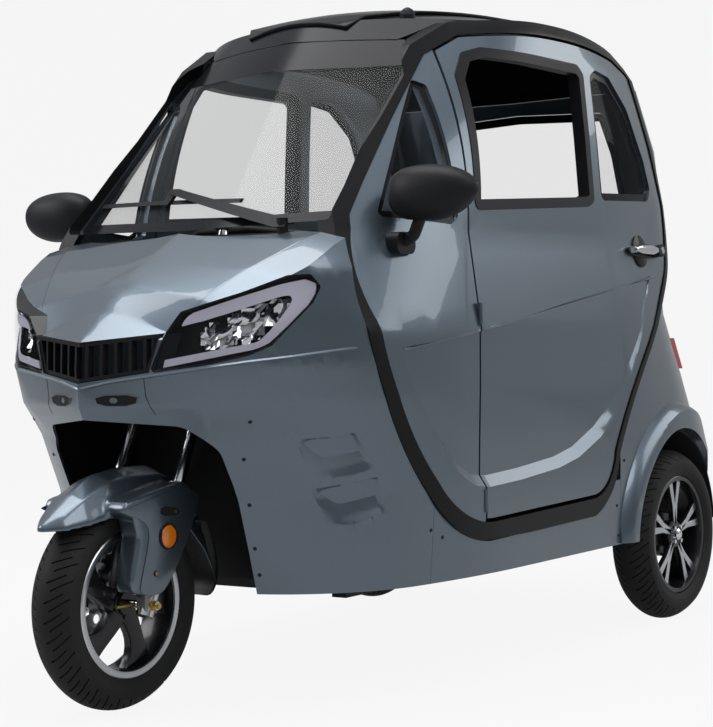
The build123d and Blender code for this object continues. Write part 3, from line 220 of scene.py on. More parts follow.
@dataclass(frozen=True)
class Finish:
    """Finish of one material: a Principled surface with a film and a grain on it.

    A material reads Object coordinates, so its pattern stays on the piece.
    """

    name: str
    slot: str
    colour: Colour
    worn: Colour
    roughness: float = 0.4
    metallic: float = 0.0
    coat: float = 0.0
    film_scale: float = 3.0
    film: float = 0.25
    gloss_change: float = 0.12
    grain_scale: float = 400.0
    grain_depth: float = 0.0
    grain_distance: float = 0.0003
    specular: float = 0.5
    alpha: float = 1.0
    sheen: float = 0.0

    def build(self, effects: Effects) -> bpy.types.Material:
        """Make the material.

        Args:
            effects: the shared node groups.

        Returns:
            The finished material.
        """
        material = bpy.data.materials.new(self.name)
        material.use_nodes = True
        tree = Tree(material.node_tree)
        shader = material.node_tree.nodes["Principled BSDF"]
        place = tree.add("TexCoord").outputs["Object"]
        self.set_plain(shader)
        film = self.group(tree, effects.film, place, {"Scale": self.film_scale, "Contrast": self.film})
        mix = tree.add("Mix", {"A": (*self.colour, 1.0), "B": (*self.worn, 1.0)}, data_type="RGBA")
        tree.join((film.outputs["Mask"], mix.inputs["Factor"]))
        tree.join((self.tint(tree, place, mix.outputs["Result"]), shader.inputs["Base Color"]))
        dullest = min(self.roughness + self.gloss_change, 1.0)
        dull = tree.add("MapRange", {"To Min": self.roughness, "To Max": dullest})
        tree.join((film.outputs["Mask"], dull.inputs["Value"]),
                  (dull.outputs["Result"], shader.inputs["Roughness"]))
        self.relief(tree, effects, place, shader)
        return material

    def set_plain(self, shader: bpy.types.Node) -> None:
        """Set the shader's own sockets that are the same all over."""
        Tree.fill(shader, {
            "Metallic": self.metallic, "Coat Weight": self.coat, "Coat Roughness": COAT_ROUGHNESS,
            "Specular IOR Level": self.specular, "Alpha": self.alpha, "Sheen Weight": self.sheen,
        })

    @staticmethod
    def group(tree: Tree, group: bpy.types.NodeTree, place: bpy.types.NodeSocket,
              values: dict[str | int, object]) -> bpy.types.Node:
        """Place a shared group, joined to the position, with its own values."""
        node = tree.add("Group", values, node_tree=group)
        tree.join((place, node.inputs["Position"]))
        return node

    def tint(self, tree: Tree, place: bpy.types.NodeSocket,
             colour: bpy.types.NodeSocket) -> bpy.types.NodeSocket:
        """Change the colour further where a finish needs it; the plain one keeps it."""
        return colour

    def relief(self, tree: Tree, effects: Effects, place: bpy.types.NodeSocket,
               shader: bpy.types.Node) -> None:
        """Join the grain to the shader's normal, if the finish has one."""
        if not self.grain_depth:
            return
        grain = self.group(tree, effects.grain, place,
                           {"Scale": self.grain_scale, "Depth": self.grain_depth})
        bump = tree.add("Bump", {"Strength": 0.6, "Distance": self.grain_distance})
        tree.join((grain.outputs["Height"], bump.inputs["Height"]),
                  (bump.outputs["Normal"], shader.inputs["Normal"]))


@dataclass(frozen=True)
class FlakePaint(Finish):
    """Metallic lacquer: fine bright flakes under a clear coat."""

    flake: Colour = (0.5, 0.58, 0.68)
    flake_scale: float = 2600.0
    flake_share: float = 0.14

    def tint(self, tree: Tree, place: bpy.types.NodeSocket,
             colour: bpy.types.NodeSocket) -> bpy.types.NodeSocket:
        """Scatter lighter flakes through the colour."""
        cells = tree.add("TexVoronoi", {"Scale": self.flake_scale})
        pick = tree.add("SeparateColor")
        share = tree.add("MapRange", {"From Min": 0.3, "To Max": self.flake_share})
        mix = tree.add("Mix", {"B": (*self.flake, 1.0)}, data_type="RGBA")
        tree.join(
            (place, cells.inputs["Vector"]), (cells.outputs["Color"], pick.inputs["Color"]),
            (pick.outputs["Red"], share.inputs["Value"]),
            (share.outputs["Result"], mix.inputs["Factor"]), (colour, mix.inputs["A"]),
        )
        return mix.outputs["Result"]


FINISHES: tuple[Finish, ...] = (
    FlakePaint("blue_steel_paint", "paint", (0.112, 0.148, 0.182), (0.124, 0.158, 0.190), roughness=0.30,
               metallic=0.80, coat=0.8, film=0.35, gloss_change=0.05, flake=(0.34, 0.40, 0.46)),
    Finish("gloss_black_plastic", "gloss_black", (0.008, 0.008, 0.010), (0.016, 0.017, 0.019), roughness=0.14,
           film=0.4, gloss_change=0.12, specular=0.14),
    Finish("satin_black_plastic", "matt_black", (0.010, 0.010, 0.012), (0.020, 0.021, 0.023), roughness=0.40,
           film=0.5, grain_depth=1.0, grain_scale=900.0, specular=0.2),
    Finish("weather_rubber", "rubber_seal", (0.007, 0.007, 0.008), (0.014, 0.014, 0.015), roughness=0.30,
           film=0.5, grain_depth=0.4, grain_scale=600.0, specular=0.16),
    Finish("tyre_rubber", "tyre_rubber", (0.011, 0.011, 0.012), (0.026, 0.025, 0.024), roughness=0.60,
           film=0.55, film_scale=9.0, grain_depth=1.0, grain_scale=700.0, specular=0.25),
    Finish("window_glass", "window_glass", (0.040, 0.045, 0.048), (0.045, 0.050, 0.052), roughness=0.02,
           film=0.1, gloss_change=0.02, alpha=0.20, specular=0.25),
    Finish("tinted_glass", "tinted_glass", (0.030, 0.034, 0.038), (0.034, 0.038, 0.042), roughness=0.02,
           film=0.1, gloss_change=0.02, alpha=0.08, specular=0.4),
    Finish("clear_lens", "clear_lens", (0.06, 0.06, 0.07), (0.08, 0.08, 0.09), roughness=0.02,
           film=0.1, gloss_change=0.02, alpha=0.06, specular=0.5),
    Finish("red_lens", "red_lens", (0.42, 0.012, 0.018), (0.50, 0.03, 0.03), roughness=0.12, coat=1.0,
           film=0.2, gloss_change=0.05),
    Finish("amber_lens", "red_lens", (0.80, 0.22, 0.01), (0.70, 0.16, 0.01), roughness=0.18, coat=1.0,
           film=0.9, film_scale=180.0, gloss_change=0.05),
    Finish("lamp_housing", "lamp_black", (0.008, 0.008, 0.010), (0.014, 0.014, 0.016), roughness=0.2,
           film=0.3, specular=0.4),
    Finish("chrome_plate", "bright_chrome", (0.82, 0.83, 0.85), (0.70, 0.71, 0.73), roughness=0.07,
           metallic=1.0, film=0.3, gloss_change=0.08),
    Finish("fork_chrome", "bright_steel", (0.72, 0.73, 0.75), (0.60, 0.61, 0.63), roughness=0.12,
           metallic=1.0, film=0.4, gloss_change=0.12),
    Finish("machined_alloy", "bright_steel", (0.62, 0.63, 0.65), (0.50, 0.51, 0.53), roughness=0.26,
           metallic=1.0, film=0.4, gloss_change=0.12, film_scale=20.0),
    Finish("dark_alloy", "dark_alloy", (0.010, 0.010, 0.012), (0.020, 0.020, 0.022), roughness=0.22,
           metallic=0.2, coat=0.2, film=0.4, specular=0.4),
    Finish("cast_alloy", "cast_alloy", (0.30, 0.30, 0.31), (0.20, 0.20, 0.21), roughness=0.42,
           metallic=1.0, film=0.6, film_scale=25.0, grain_depth=0.6, grain_scale=700.0),
    Finish("passivated_brass", "bright_chrome", (0.55, 0.40, 0.13), (0.42, 0.30, 0.10), roughness=0.3,
           metallic=1.0, film=0.6, film_scale=60.0),
    Finish("frame_coat", "black_metal", (0.010, 0.010, 0.011), (0.022, 0.022, 0.023), roughness=0.45,
           film=0.5, grain_depth=0.6, grain_scale=500.0, specular=0.3),
    Finish("axle_paint", "axle_iron", (0.03, 0.03, 0.032), (0.06, 0.055, 0.05), roughness=0.55,
           metallic=0.3, film=0.7, film_scale=12.0, grain_depth=1.0, grain_scale=350.0),
    Finish("battery_case", "battery_case", (0.12, 0.13, 0.14), (0.18, 0.19, 0.20), roughness=0.4,
           film=0.5, grain_depth=0.4),
    Finish("coated_cloth", "seat_cover", (0.022, 0.021, 0.022), (0.045, 0.043, 0.042), roughness=0.5,
           film=0.5, film_scale=6.0, grain_depth=1.0, grain_scale=300.0, grain_distance=0.0006, sheen=0.15),
    Finish("light_tube", "clear_lens", (0.62, 0.60, 0.72), (0.66, 0.65, 0.75), roughness=0.3, film=0.2,
           coat=0.3),
)


class Materials:
    """The finished materials, by finish name and by the record's slot."""

    def __init__(self) -> None:
        """Build every finish once."""
        effects = Effects()
        self.by_name = {finish.name: finish.build(effects) for finish in FINISHES}
        self.slot_of = {finish.name: finish.slot for finish in FINISHES}

    def for_slot(self, slot: str) -> bpy.types.Material:
        """Return the first finish made for a record slot."""
        return next(self.by_name[finish.name] for finish in FINISHES if finish.slot == slot)


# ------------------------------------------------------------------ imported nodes
class PackedNodes:
    """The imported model's own nodes: given their finish and smooth shading."""

    crease_angle = math.radians(26)

    def __init__(self, frame: dict, materials: Materials) -> None:
        """Keep the frame and the materials."""
        self.frame = frame
        self.materials = materials
        self.shading = self.shading_group()

    def shading_group(self) -> bpy.types.NodeTree:
        """Geometry nodes that join the loose faces and shade them smooth up to an angle."""
        group = bpy.data.node_groups.new("smooth_by_angle", "GeometryNodeTree")
        group.interface.new_socket("Geometry", in_out="INPUT", socket_type="NodeSocketGeometry")
        group.interface.new_socket("Geometry", in_out="OUTPUT", socket_type="NodeSocketGeometry")
        tree = Tree(group)
        source, target = tree.add("NodeGroupInput"), tree.add("NodeGroupOutput")
        bare = tree.add("GeometryNodeRemoveAttribute", {"Name": "custom_normal"})
        weld = tree.add("GeometryNodeMergeByDistance", {"Distance": 2 * WELD})
        soft = tree.add("GeometryNodeSetShadeSmooth", domain="FACE")
        sharp = tree.add("GeometryNodeSetShadeSmooth", {"Shade Smooth": False}, domain="EDGE")
        angle = tree.add("GeometryNodeInputMeshEdgeAngle")
        steep = tree.add("FunctionNodeCompare", {"B": self.crease_angle}, operation="GREATER_THAN")
        tree.join(
            (source.outputs[0], bare.inputs["Geometry"]),
            (bare.outputs["Geometry"], weld.inputs["Geometry"]),
            (weld.outputs["Geometry"], soft.inputs["Geometry"]),
            (soft.outputs["Geometry"], sharp.inputs["Geometry"]),
            (angle.outputs["Unsigned Angle"], steep.inputs["A"]),
            (steep.outputs["Result"], sharp.inputs["Selection"]),
            (sharp.outputs["Geometry"], target.inputs[0]),
        )
        return group

    def dress(self) -> None:
        """Give every node its finish and its shading."""
        for row in self.frame["record"]["subparts"]:
            node = self.frame["nodes"][row["node"]]
            node.data.materials.clear()
            node.data.materials.append(self.materials.for_slot(row["material_slot"]))
            node.modifiers.new("smooth_by_angle", "NODES").node_group = self.shading
            LOG.info("dressed %s", row["node"])


# ------------------------------------------------------------------ mesh building
def only(kind: type, items: Iterable[object]) -> list:
    """Items of one kind among what a bmesh operator returns."""
    return [item for item in items if isinstance(item, kind)]


def put(name: str, data: bpy.types.ID) -> bpy.types.Object:
    """New object for a mesh, lamp or camera, at the origin of the scene."""
    made = bpy.data.objects.new(name, data)
    bpy.context.collection.objects.link(made)
    return made


def applied(holder: bpy.types.Object) -> bpy.types.Mesh:
    """Mesh of an object with its modifiers applied; the object and its own mesh go."""
    graph = bpy.context.evaluated_depsgraph_get()
    done = bpy.data.meshes.new_from_object(holder.evaluated_get(graph))
    data = holder.data
    bpy.data.objects.remove(holder)
    bpy.data.meshes.remove(data)
    return done


class Shape:
    """A mesh being modelled, with the bmesh operators that the pieces share."""

    def __init__(self, mesh: BMesh | None = None) -> None:
        """Start empty, or with a mesh."""
        self.mesh = bmesh.new() if mesh is None else mesh

    def take(self, data: bpy.types.Mesh) -> "Shape":
        """Add a mesh to the shape and delete it."""
        self.mesh.from_mesh(data)
        bpy.data.meshes.remove(data)
        return self

    def absorb(self, other: "Shape") -> "Shape":
        """Move another shape's mesh into this one."""
        data = bpy.data.meshes.new("part")
        other.mesh.to_mesh(data)
        other.mesh.free()
        return self.take(data)

    def soften(self, rounds: int) -> "Shape":
        """Smooth every point, as often as asked."""
        for _ in range(rounds):
            bmesh.ops.smooth_vert(self.mesh, verts=self.mesh.verts, factor=0.5, use_axis_x=True,
                                  use_axis_y=True, use_axis_z=True)
        return self

    def line(self, verts: Sequence[BMVert], closed: bool) -> list[BMEdge]:
        """Edges along a row of points, joined up at the end if closed."""
        pairs = list(zip(verts, verts[1:]))
        if closed:
            pairs.append((verts[-1], verts[0]))
        return [self.mesh.edges.new(pair) for pair in pairs]

    def ring_profile(self, profile: Sequence[Flat], centre: Point, steps: int,
                     closed: bool = True) -> "Shape":
        """Spin a profile of (x, radius) points into a ring about an axis along X.

        Args:
            profile: the profile's points, x measured from the centre.
            centre: a point on the axis.
            steps: number of steps round the ring.
            closed: whether the profile's last point joins its first.

        Returns:
            This shape.
        """
        verts = [self.mesh.verts.new((centre[0] + x, centre[1], centre[2] + radius))
                 for x, radius in profile]
        bmesh.ops.spin(self.mesh, geom=verts + self.line(verts, closed), cent=centre, axis=(1, 0, 0),
                       angle=math.tau, steps=steps, use_merge=True, use_duplicate=False)
        bmesh.ops.remove_doubles(self.mesh, verts=self.mesh.verts, dist=WELD)
        bmesh.ops.recalc_face_normals(self.mesh, faces=self.mesh.faces)
        return self

    def plate(self, loops: Sequence[Sequence[Flat]], place: Matrix, depth: float) -> "Shape":
        """Flat plate over an outline with holes, given a thickness.

        Args:
            loops: the outline first, then the holes, as (u, v) points.
            place: matrix from (u, v, 0) to the row frame; the plate grows along its third axis.
            depth: thickness.

        Returns:
            This shape.
        """
        edges = []
        for loop in loops:
            verts = [self.mesh.verts.new(place @ Vector((u, v, 0))) for u, v in loop]
            edges += self.line(verts, True)
        filled = bmesh.ops.triangle_fill(self.mesh, use_beauty=True, use_dissolve=False, edges=edges)
        grown = bmesh.ops.extrude_face_region(self.mesh, geom=only(BMFace, filled["geom"]),
                                              use_keep_orig=True)
        bmesh.ops.translate(self.mesh, verts=only(BMVert, grown["geom"]),
                            vec=place.to_3x3() @ Vector((0, 0, depth)))
        bmesh.ops.recalc_face_normals(self.mesh, faces=self.mesh.faces)
        return self

    def tube(self, path: Sequence[Vector], radii: Sequence[float], sides: int) -> "Shape":
        """Round tube along a path, with a radius at each point and closed ends."""
        previous: list[BMEdge] = []
        for number, (point, radius) in enumerate(zip(path, radii)):
            ahead = path[min(number + 1, len(path) - 1)] - path[max(number - 1, 0)]
            turn = ahead.to_track_quat("Z", "Y").to_matrix().to_4x4()
            ring = bmesh.ops.create_circle(self.mesh, segments=sides, radius=radius,
                                           matrix=Matrix.Translation(point) @ turn)["verts"]
            edges = list({edge for vert in ring for edge in vert.link_edges
                          if edge.other_vert(vert) in ring})
            if previous:
                bmesh.ops.bridge_loops(self.mesh, edges=previous + edges)
            else:
                bmesh.ops.contextual_create(self.mesh, geom=edges)
            previous = edges
        bmesh.ops.contextual_create(self.mesh, geom=previous)
        bmesh.ops.recalc_face_normals(self.mesh, faces=self.mesh.faces)
        return self

    def loft(self, rings: Sequence[Sequence[Point]], closed: bool = False) -> "Shape":
        """Skin over cross sections that have the same number of points.

        Args:
            rings: cross sections in order, each a list of points.
            closed: whether each cross section is a closed loop.

        Returns:
            This shape.
        """
        previous: list[BMEdge] = []
        for ring in rings:
            edges = self.line([self.mesh.verts.new(point) for point in ring], closed)
            if previous:
                bmesh.ops.bridge_loops(self.mesh, edges=previous + edges)
            previous = edges
        bmesh.ops.recalc_face_normals(self.mesh, faces=self.mesh.faces)
        return self

    def bar(self, middle: Point, radius: float, length: float, axis: str, sides: int) -> "Shape":
        """Cylinder or prism centred on a point, along X or Y."""
        turn = Matrix.Rotation(math.pi / 2, 4, {"X": "Y", "Y": "X"}[axis])
        bmesh.ops.create_cone(self.mesh, cap_ends=True, segments=sides, radius1=radius,
                              radius2=radius, depth=length, matrix=Matrix.Translation(middle) @ turn)
        return self

    def box(self, low: Point, high: Point) -> "Shape":
        """Block between two corners."""
        middle = [(a + b) / 2 for a, b in zip(low, high)]
        size = Matrix.Diagonal([b - a for a, b in zip(low, high)] + [1])
        bmesh.ops.create_cube(self.mesh, size=1.0, matrix=Matrix.Translation(middle) @ size)
        return self

    def repeat(self, count: int, centre: Point) -> "Shape":
        """Copy everything so far round an axis along X, evenly."""
        source = self.mesh.verts[:] + self.mesh.edges[:] + self.mesh.faces[:]
        for number in range(1, count):
            copied = bmesh.ops.duplicate(self.mesh, geom=source)["geom"]
            bmesh.ops.rotate(self.mesh, verts=only(BMVert, copied), cent=centre,
                             matrix=Matrix.Rotation(math.tau * number / count, 3, "X"))
        return self

    def mirrored(self) -> "Shape":
        """Add the same shape on the other side of the car."""
        source = self.mesh.verts[:] + self.mesh.edges[:] + self.mesh.faces[:]
        copied = bmesh.ops.duplicate(self.mesh, geom=source)["geom"]
        bmesh.ops.scale(self.mesh, verts=only(BMVert, copied), vec=(-1, 1, 1))
        bmesh.ops.reverse_faces(self.mesh, faces=only(BMFace, copied))
        return self

    def thicken(self, depth: float) -> "Shape":
        """Give an open skin a wall behind it."""
        bmesh.ops.solidify(self.mesh, geom=self.mesh.faces[:], thickness=depth)
        return self

    def crisp(self, width: float, segments: int = 2, angle: float = 35.0) -> "Shape":
        """Round the edges sharper than an angle."""
        limit = math.radians(angle)
        sharp = [edge for edge in self.mesh.edges
                 if len(edge.link_faces) == 2 and edge.calc_face_angle(0.0) > limit]
        if sharp:
            bmesh.ops.bevel(self.mesh, geom=sharp, offset=width, offset_type="OFFSET", segments=segments,
                            profile=0.5, affect="EDGES", clamp_overlap=True, material=-1)
        return self

    def piece(self, name: str, material: bpy.types.Material, body: Body, slot: str,
              shading: bpy.types.NodeTree | None = None, subdivisions: int = 0) -> bpy.types.Object:
        """Turn the shape into an object that rides on a body.

        Args:
            name: the piece's name.
            material: its finish.
            body: the body that it rides on.
            slot: the record's material slot that the finish stands for; not used.
            shading: geometry nodes for smooth shading up to an angle.
            subdivisions: levels of subdivision, the same in the render.

        Returns:
            The new object, at the origin.
        """
        data = bpy.data.meshes.new(name)
        self.mesh.to_mesh(data)
        self.mesh.free()
        data.materials.append(material)
        made = put(name, data)
        if subdivisions:
            surface = made.modifiers.new("surface", "SUBSURF")
            surface.levels = surface.render_levels = subdivisions
        if shading:
            made.modifiers.new("smooth_by_angle", "NODES").node_group = shading
        else:
            for face in data.polygons:
                face.use_smooth = True
        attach(made, body.value)
        LOG.info("built %s", name)
        return made


@dataclass
class Workshop:
    """What every sub-assembly needs to make its pieces."""

    frame: dict
    materials: Materials
    shading: bpy.types.NodeTree
    axle_y: float

    def make(self, shape: Shape, name: str, finish: str, body: Body, subdivisions: int = 0,
             smooth: bool = False) -> bpy.types.Object:
        """Finish a shape as a piece in a named finish; a smooth one has no creases."""
        return shape.piece(name, self.materials.by_name[finish], body,
                           self.materials.slot_of[finish], None if smooth else self.shading,
                           subdivisions)

    def at(self, station: float) -> float:
        """Y of a station in metres behind the front axle."""
        return self.axle_y + station


def circle(radius: float, count: int, u: float = 0.0, v: float = 0.0) -> list[Flat]:
    """Points of a circle in a plane."""
    turns = [math.tau * n / count for n in range(count)]
    return [(u + radius * math.cos(turn), v + radius * math.sin(turn)) for turn in turns]


def sideways(points: Iterable[Flat], side: int) -> list[Flat]:
    """Points with their first coordinate turned to a side, 1 or -1."""
    return [(side * u, v) for u, v in points]


def polar(radius: float, angle: float) -> Flat:
    """Point of a wheel's plane at a radius and an angle from the top."""
    return radius * math.sin(angle), radius * math.cos(angle)


def wheel_plane(x: float, centre: Point) -> Matrix:
    """Matrix of the plane across a wheel: u is rearwards, v is up and the third axis is +X."""
    return Matrix(((0, 0, 1, x), (1, 0, 0, centre[1]), (0, 1, 0, centre[2]), (0, 0, 0, 1)))


# ------------------------------------------------------------------ wheels
@dataclass
class Tyre:
    """Scooter tyre: a round carcass whose tread has curved sipes cut in it."""

    half_width: float = 0.059
    bead_radius: float = 0.1585
    bead_half: float = 0.0424
    flange_radius: float = 0.1665
    wall_radius: float = 0.196
    shoulder_radius: float = 0.2095
    pitches: int = 34
    columns: tuple[float, ...] = (0.0, 0.07, 0.17, 0.38, 0.5, 0.57, 0.67, 0.88)
    groove_columns: tuple[int, ...] = (1, 5)
    sweep: float = 0.17
    groove_depth: float = 0.0042
    groove_edge: float = 0.0006
    crown_steps: int = 9
    crown_power: float = 2.1

    def profile(self) -> list[Flat]:
        """Profile from one bead over the crown to the other, as (x, radius)."""
        crown = []
        drop = WHEEL_RADIUS - self.shoulder_radius
        for step in range(-self.crown_steps, self.crown_steps + 1):
            share = step / self.crown_steps
            crown.append(((self.half_width - 0.003) * share,
                          WHEEL_RADIUS - drop * abs(share) ** self.crown_power))
        wall = [(self.half_width - 0.0012, 0.204), (self.half_width, self.wall_radius),
                (self.half_width - 0.0005, 0.186), (self.half_width - 0.003, 0.1775),
                (self.half_width - 0.0058, 0.1742), (self.half_width - 0.0066, 0.1722),
                (self.half_width - 0.0112, self.flange_radius), (self.bead_half, self.flange_radius),
                (self.bead_half, self.bead_radius)]
        left = [(-x, r) for x, r in reversed(wall)]
        return left + crown + wall

    def build(self, shop: Workshop, name: str, node: str, centre: Point, body: Body) -> None:
        """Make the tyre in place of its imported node.

        Args:
            shop: the workshop.
            name: the piece's name.
            node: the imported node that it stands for.
            centre: the wheel's centre.
            body: the body that it rides on.
        """
        shape = Shape().ring_profile(self.profile(), centre, self.pitches * len(self.columns))
        self.cut_tread(shape, centre)
        piece = shop.make(shape, name, "tyre_rubber", body)
        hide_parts(node)

    def cut_tread(self, shape: Shape, centre: Point) -> None:
        """Sweep the tread's columns backwards towards its edges and sink the grooves."""
        mesh = shape.mesh
        count = len(self.columns)
        step = math.tau / (self.pitches * count)
        column_of: dict[BMVert, int] = {}
        for vert in mesh.verts:
            angle = math.atan2(vert.co.y - centre[1], vert.co.z - centre[2]) % math.tau
            column_of[vert] = round(angle / step) % (self.pitches * count)
        grooves = []
        for face in mesh.faces:
            middle = face.calc_center_median()
            across = abs(middle.x - centre[0])
            radius = math.hypot(middle.y - centre[1], middle.z - centre[2])
            columns = sorted({column_of[vert] % count for vert in face.verts})
            first = columns[0] if columns != [0, count - 1] else count - 1
            long = first == self.groove_columns[0]
            low, high = (0.006, 0.044) if long else (0.016, 0.054)
            on_tread = radius > self.shoulder_radius - 0.002 and low < across < high
            if on_tread and first in self.groove_columns:
                if (middle.x > centre[0]) == long or across > 0.02:
                    grooves.append(face)
        for vert in mesh.verts:
            pitch, column = divmod(column_of[vert], count)
            share = min(abs(vert.co.x - centre[0]) / self.half_width, 1.0)
            angle = (pitch + self.columns[column]) * step * count + self.sweep * share ** 1.6
            radius = math.hypot(vert.co.y - centre[1], vert.co.z - centre[2])
            vert.co.y = centre[1] + radius * math.sin(angle)
            vert.co.z = centre[2] + radius * math.cos(angle)
        bmesh.ops.recalc_face_normals(mesh, faces=mesh.faces)
        bmesh.ops.inset_region(mesh, faces=grooves, thickness=self.groove_edge,
                               depth=-self.groove_depth, use_even_offset=True)


@dataclass
class FrontWheel:
    """Front wheel: tyre, black rim of five broad curved spokes with a bright lip, and disc."""

    rim_half: float = 0.044
    lip_radius: float = 0.166
    barrel_radius: float = 0.146
    hub_radius: float = 0.034
    spoke_count: int = 5
    spoke_foot: float = 0.026
    spoke_steps: int = 8
    spoke_lean: float = 0.34
    spoke_depth: float = 0.024
    disc_x: float = -0.060
    disc_radius: float = 0.085
    disc_points: int = 108
    disc_waves: int = 9
    wave_height: float = 0.018
    disc_wall: float = 0.0035
    bore: float = 0.0098
    disc_holes: int = 18
    hole_radius: float = 0.0038
    # distances of the holes' rows from the disc's edge
    hole_rows: tuple[float, ...] = (0.009, 0.017, 0.025)
    disc_windows: int = 6
    window_radius: float = 0.011
    window_circle: float = 0.041

    def build(self, shop: Workshop) -> None:
        """Make the wheel's pieces."""
        centre = (0.0, shop.at(0), WHEEL_RADIUS)
        Tyre().build(shop, "front_tyre_tread", "front_tyre", centre, Body.FRONT_WHEEL)
        rim = self.barrel(shop, centre)
        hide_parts("front_rim")
        self.lips(shop, centre)
        self.spokes(shop, centre)
        self.disc(shop, centre)

    def barrel(self, shop: Workshop, centre: Point) -> bpy.types.Object:
        """Well of the rim with its hub; the profiles are (x, radius)."""
        half, lip = self.rim_half, self.lip_radius
        profile = [(-half - 0.002, lip - 0.002), (-half + 0.001, lip - 0.002), (-half, 0.158),
                   (-half + 0.012, 0.1575), (-0.02, 0.1545), (0.02, 0.1545), (half - 0.012, 0.1575),
                   (half, 0.158), (half - 0.001, lip - 0.002), (half + 0.002, lip - 0.002),
                   (half + 0.003, 0.151), (half - 0.012, 0.1475), (0.012, self.barrel_radius),
                   (-0.012, self.barrel_radius), (-half + 0.012, 0.1475), (-half - 0.003, 0.151)]
        shape = Shape().ring_profile(profile, centre, 96)
        hub = [(-0.034, 0.0095), (-0.034, 0.026), (-0.022, self.hub_radius),
               (0.018, self.hub_radius + 0.002), (0.026, 0.027), (0.034, 0.025), (0.034, 0.0095)]
        shape.ring_profile(hub, centre, 48)
        return shop.make(shape, "front_rim_barrel", "dark_alloy", Body.FRONT_WHEEL)

    def lips(self, shop: Workshop, centre: Point) -> None:
        """Machined bands on both edges of the rim."""
        half, lip = self.rim_half, self.lip_radius
        shape = Shape()
        for side in (-1, 1):
            band = [(half - 0.001, lip - 0.0016), (half + 0.0028, lip - 0.0004),
                    (half + 0.0044, lip - 0.0030), (half + 0.0046, 0.1560), (half + 0.0030, 0.1500),
                    (half - 0.0020, 0.1490), (half - 0.0020, 0.154)]
            shape.ring_profile(sideways(band, side), centre, 96)
        shop.make(shape, "front_rim_lips", "machined_alloy", Body.FRONT_WHEEL)

    def spokes(self, shop: Workshop, centre: Point) -> None:
        """Five broad spokes that curve backwards and widen into the barrel."""
        edge_a, edge_b = [], []
        for step in range(self.spoke_steps + 1):
            share = step / self.spoke_steps
            radius = self.spoke_foot + (self.barrel_radius + 0.004 - self.spoke_foot) * share
            lean = self.spoke_lean * share ** 1.4
            half_angle = (0.021 + 0.012 * (2 * share - 1) ** 2 + 0.012 * share ** 4) / radius
            edge_a.append(polar(radius, lean - half_angle))
            edge_b.append(polar(radius, lean + half_angle))
        shape = Shape().plate([edge_a + edge_b[::-1]], wheel_plane(0.0, centre), self.spoke_depth)
        shape.crisp(0.0035, 3).repeat(self.spoke_count, centre)
        shop.make(shape, "front_rim_spokes", "dark_alloy", Body.FRONT_WHEEL)

    def disc(self, shop: Workshop, centre: Point) -> None:
        """Wavy drilled brake disc on its carrier."""
        holes = []
        for number in range(self.disc_holes):
            reach = self.disc_radius - self.hole_rows[number % len(self.hole_rows)]
            angle = math.tau * number / self.disc_holes
            holes.append(circle(self.hole_radius, 10, reach * math.cos(angle), reach * math.sin(angle)))
        windows = []
        for number in range(self.disc_windows):
            reach, angle = self.window_circle, math.tau * (number + 0.5) / self.disc_windows
            windows.append(circle(self.window_radius, 14, reach * math.cos(angle), reach * math.sin(angle)))
        outline = []
        for number in range(self.disc_points):
            wave = math.cos(self.disc_waves * math.tau * number / self.disc_points)
            reach = self.disc_radius * (1 + self.wave_height * wave)
            angle = math.tau * number / self.disc_points
            outline.append((reach * math.cos(angle), reach * math.sin(angle)))
        shape = Shape().plate([outline, circle(self.bore, 24)] + holes + windows,
                              wheel_plane(self.disc_x - 0.0015, centre), self.disc_wall)
        shop.make(shape, "front_brake_disc", "machined_alloy", Body.FRONT_WHEEL)
        profile = [(-0.0565, self.bore), (-0.0565, 0.030), (-0.044, 0.027), (-0.033, 0.027),
                   (-0.033, self.bore)]
        carrier = Shape().ring_profile(profile, centre, 40)
        shop.make(carrier, "front_disc_carrier", "cast_alloy", Body.FRONT_WHEEL)


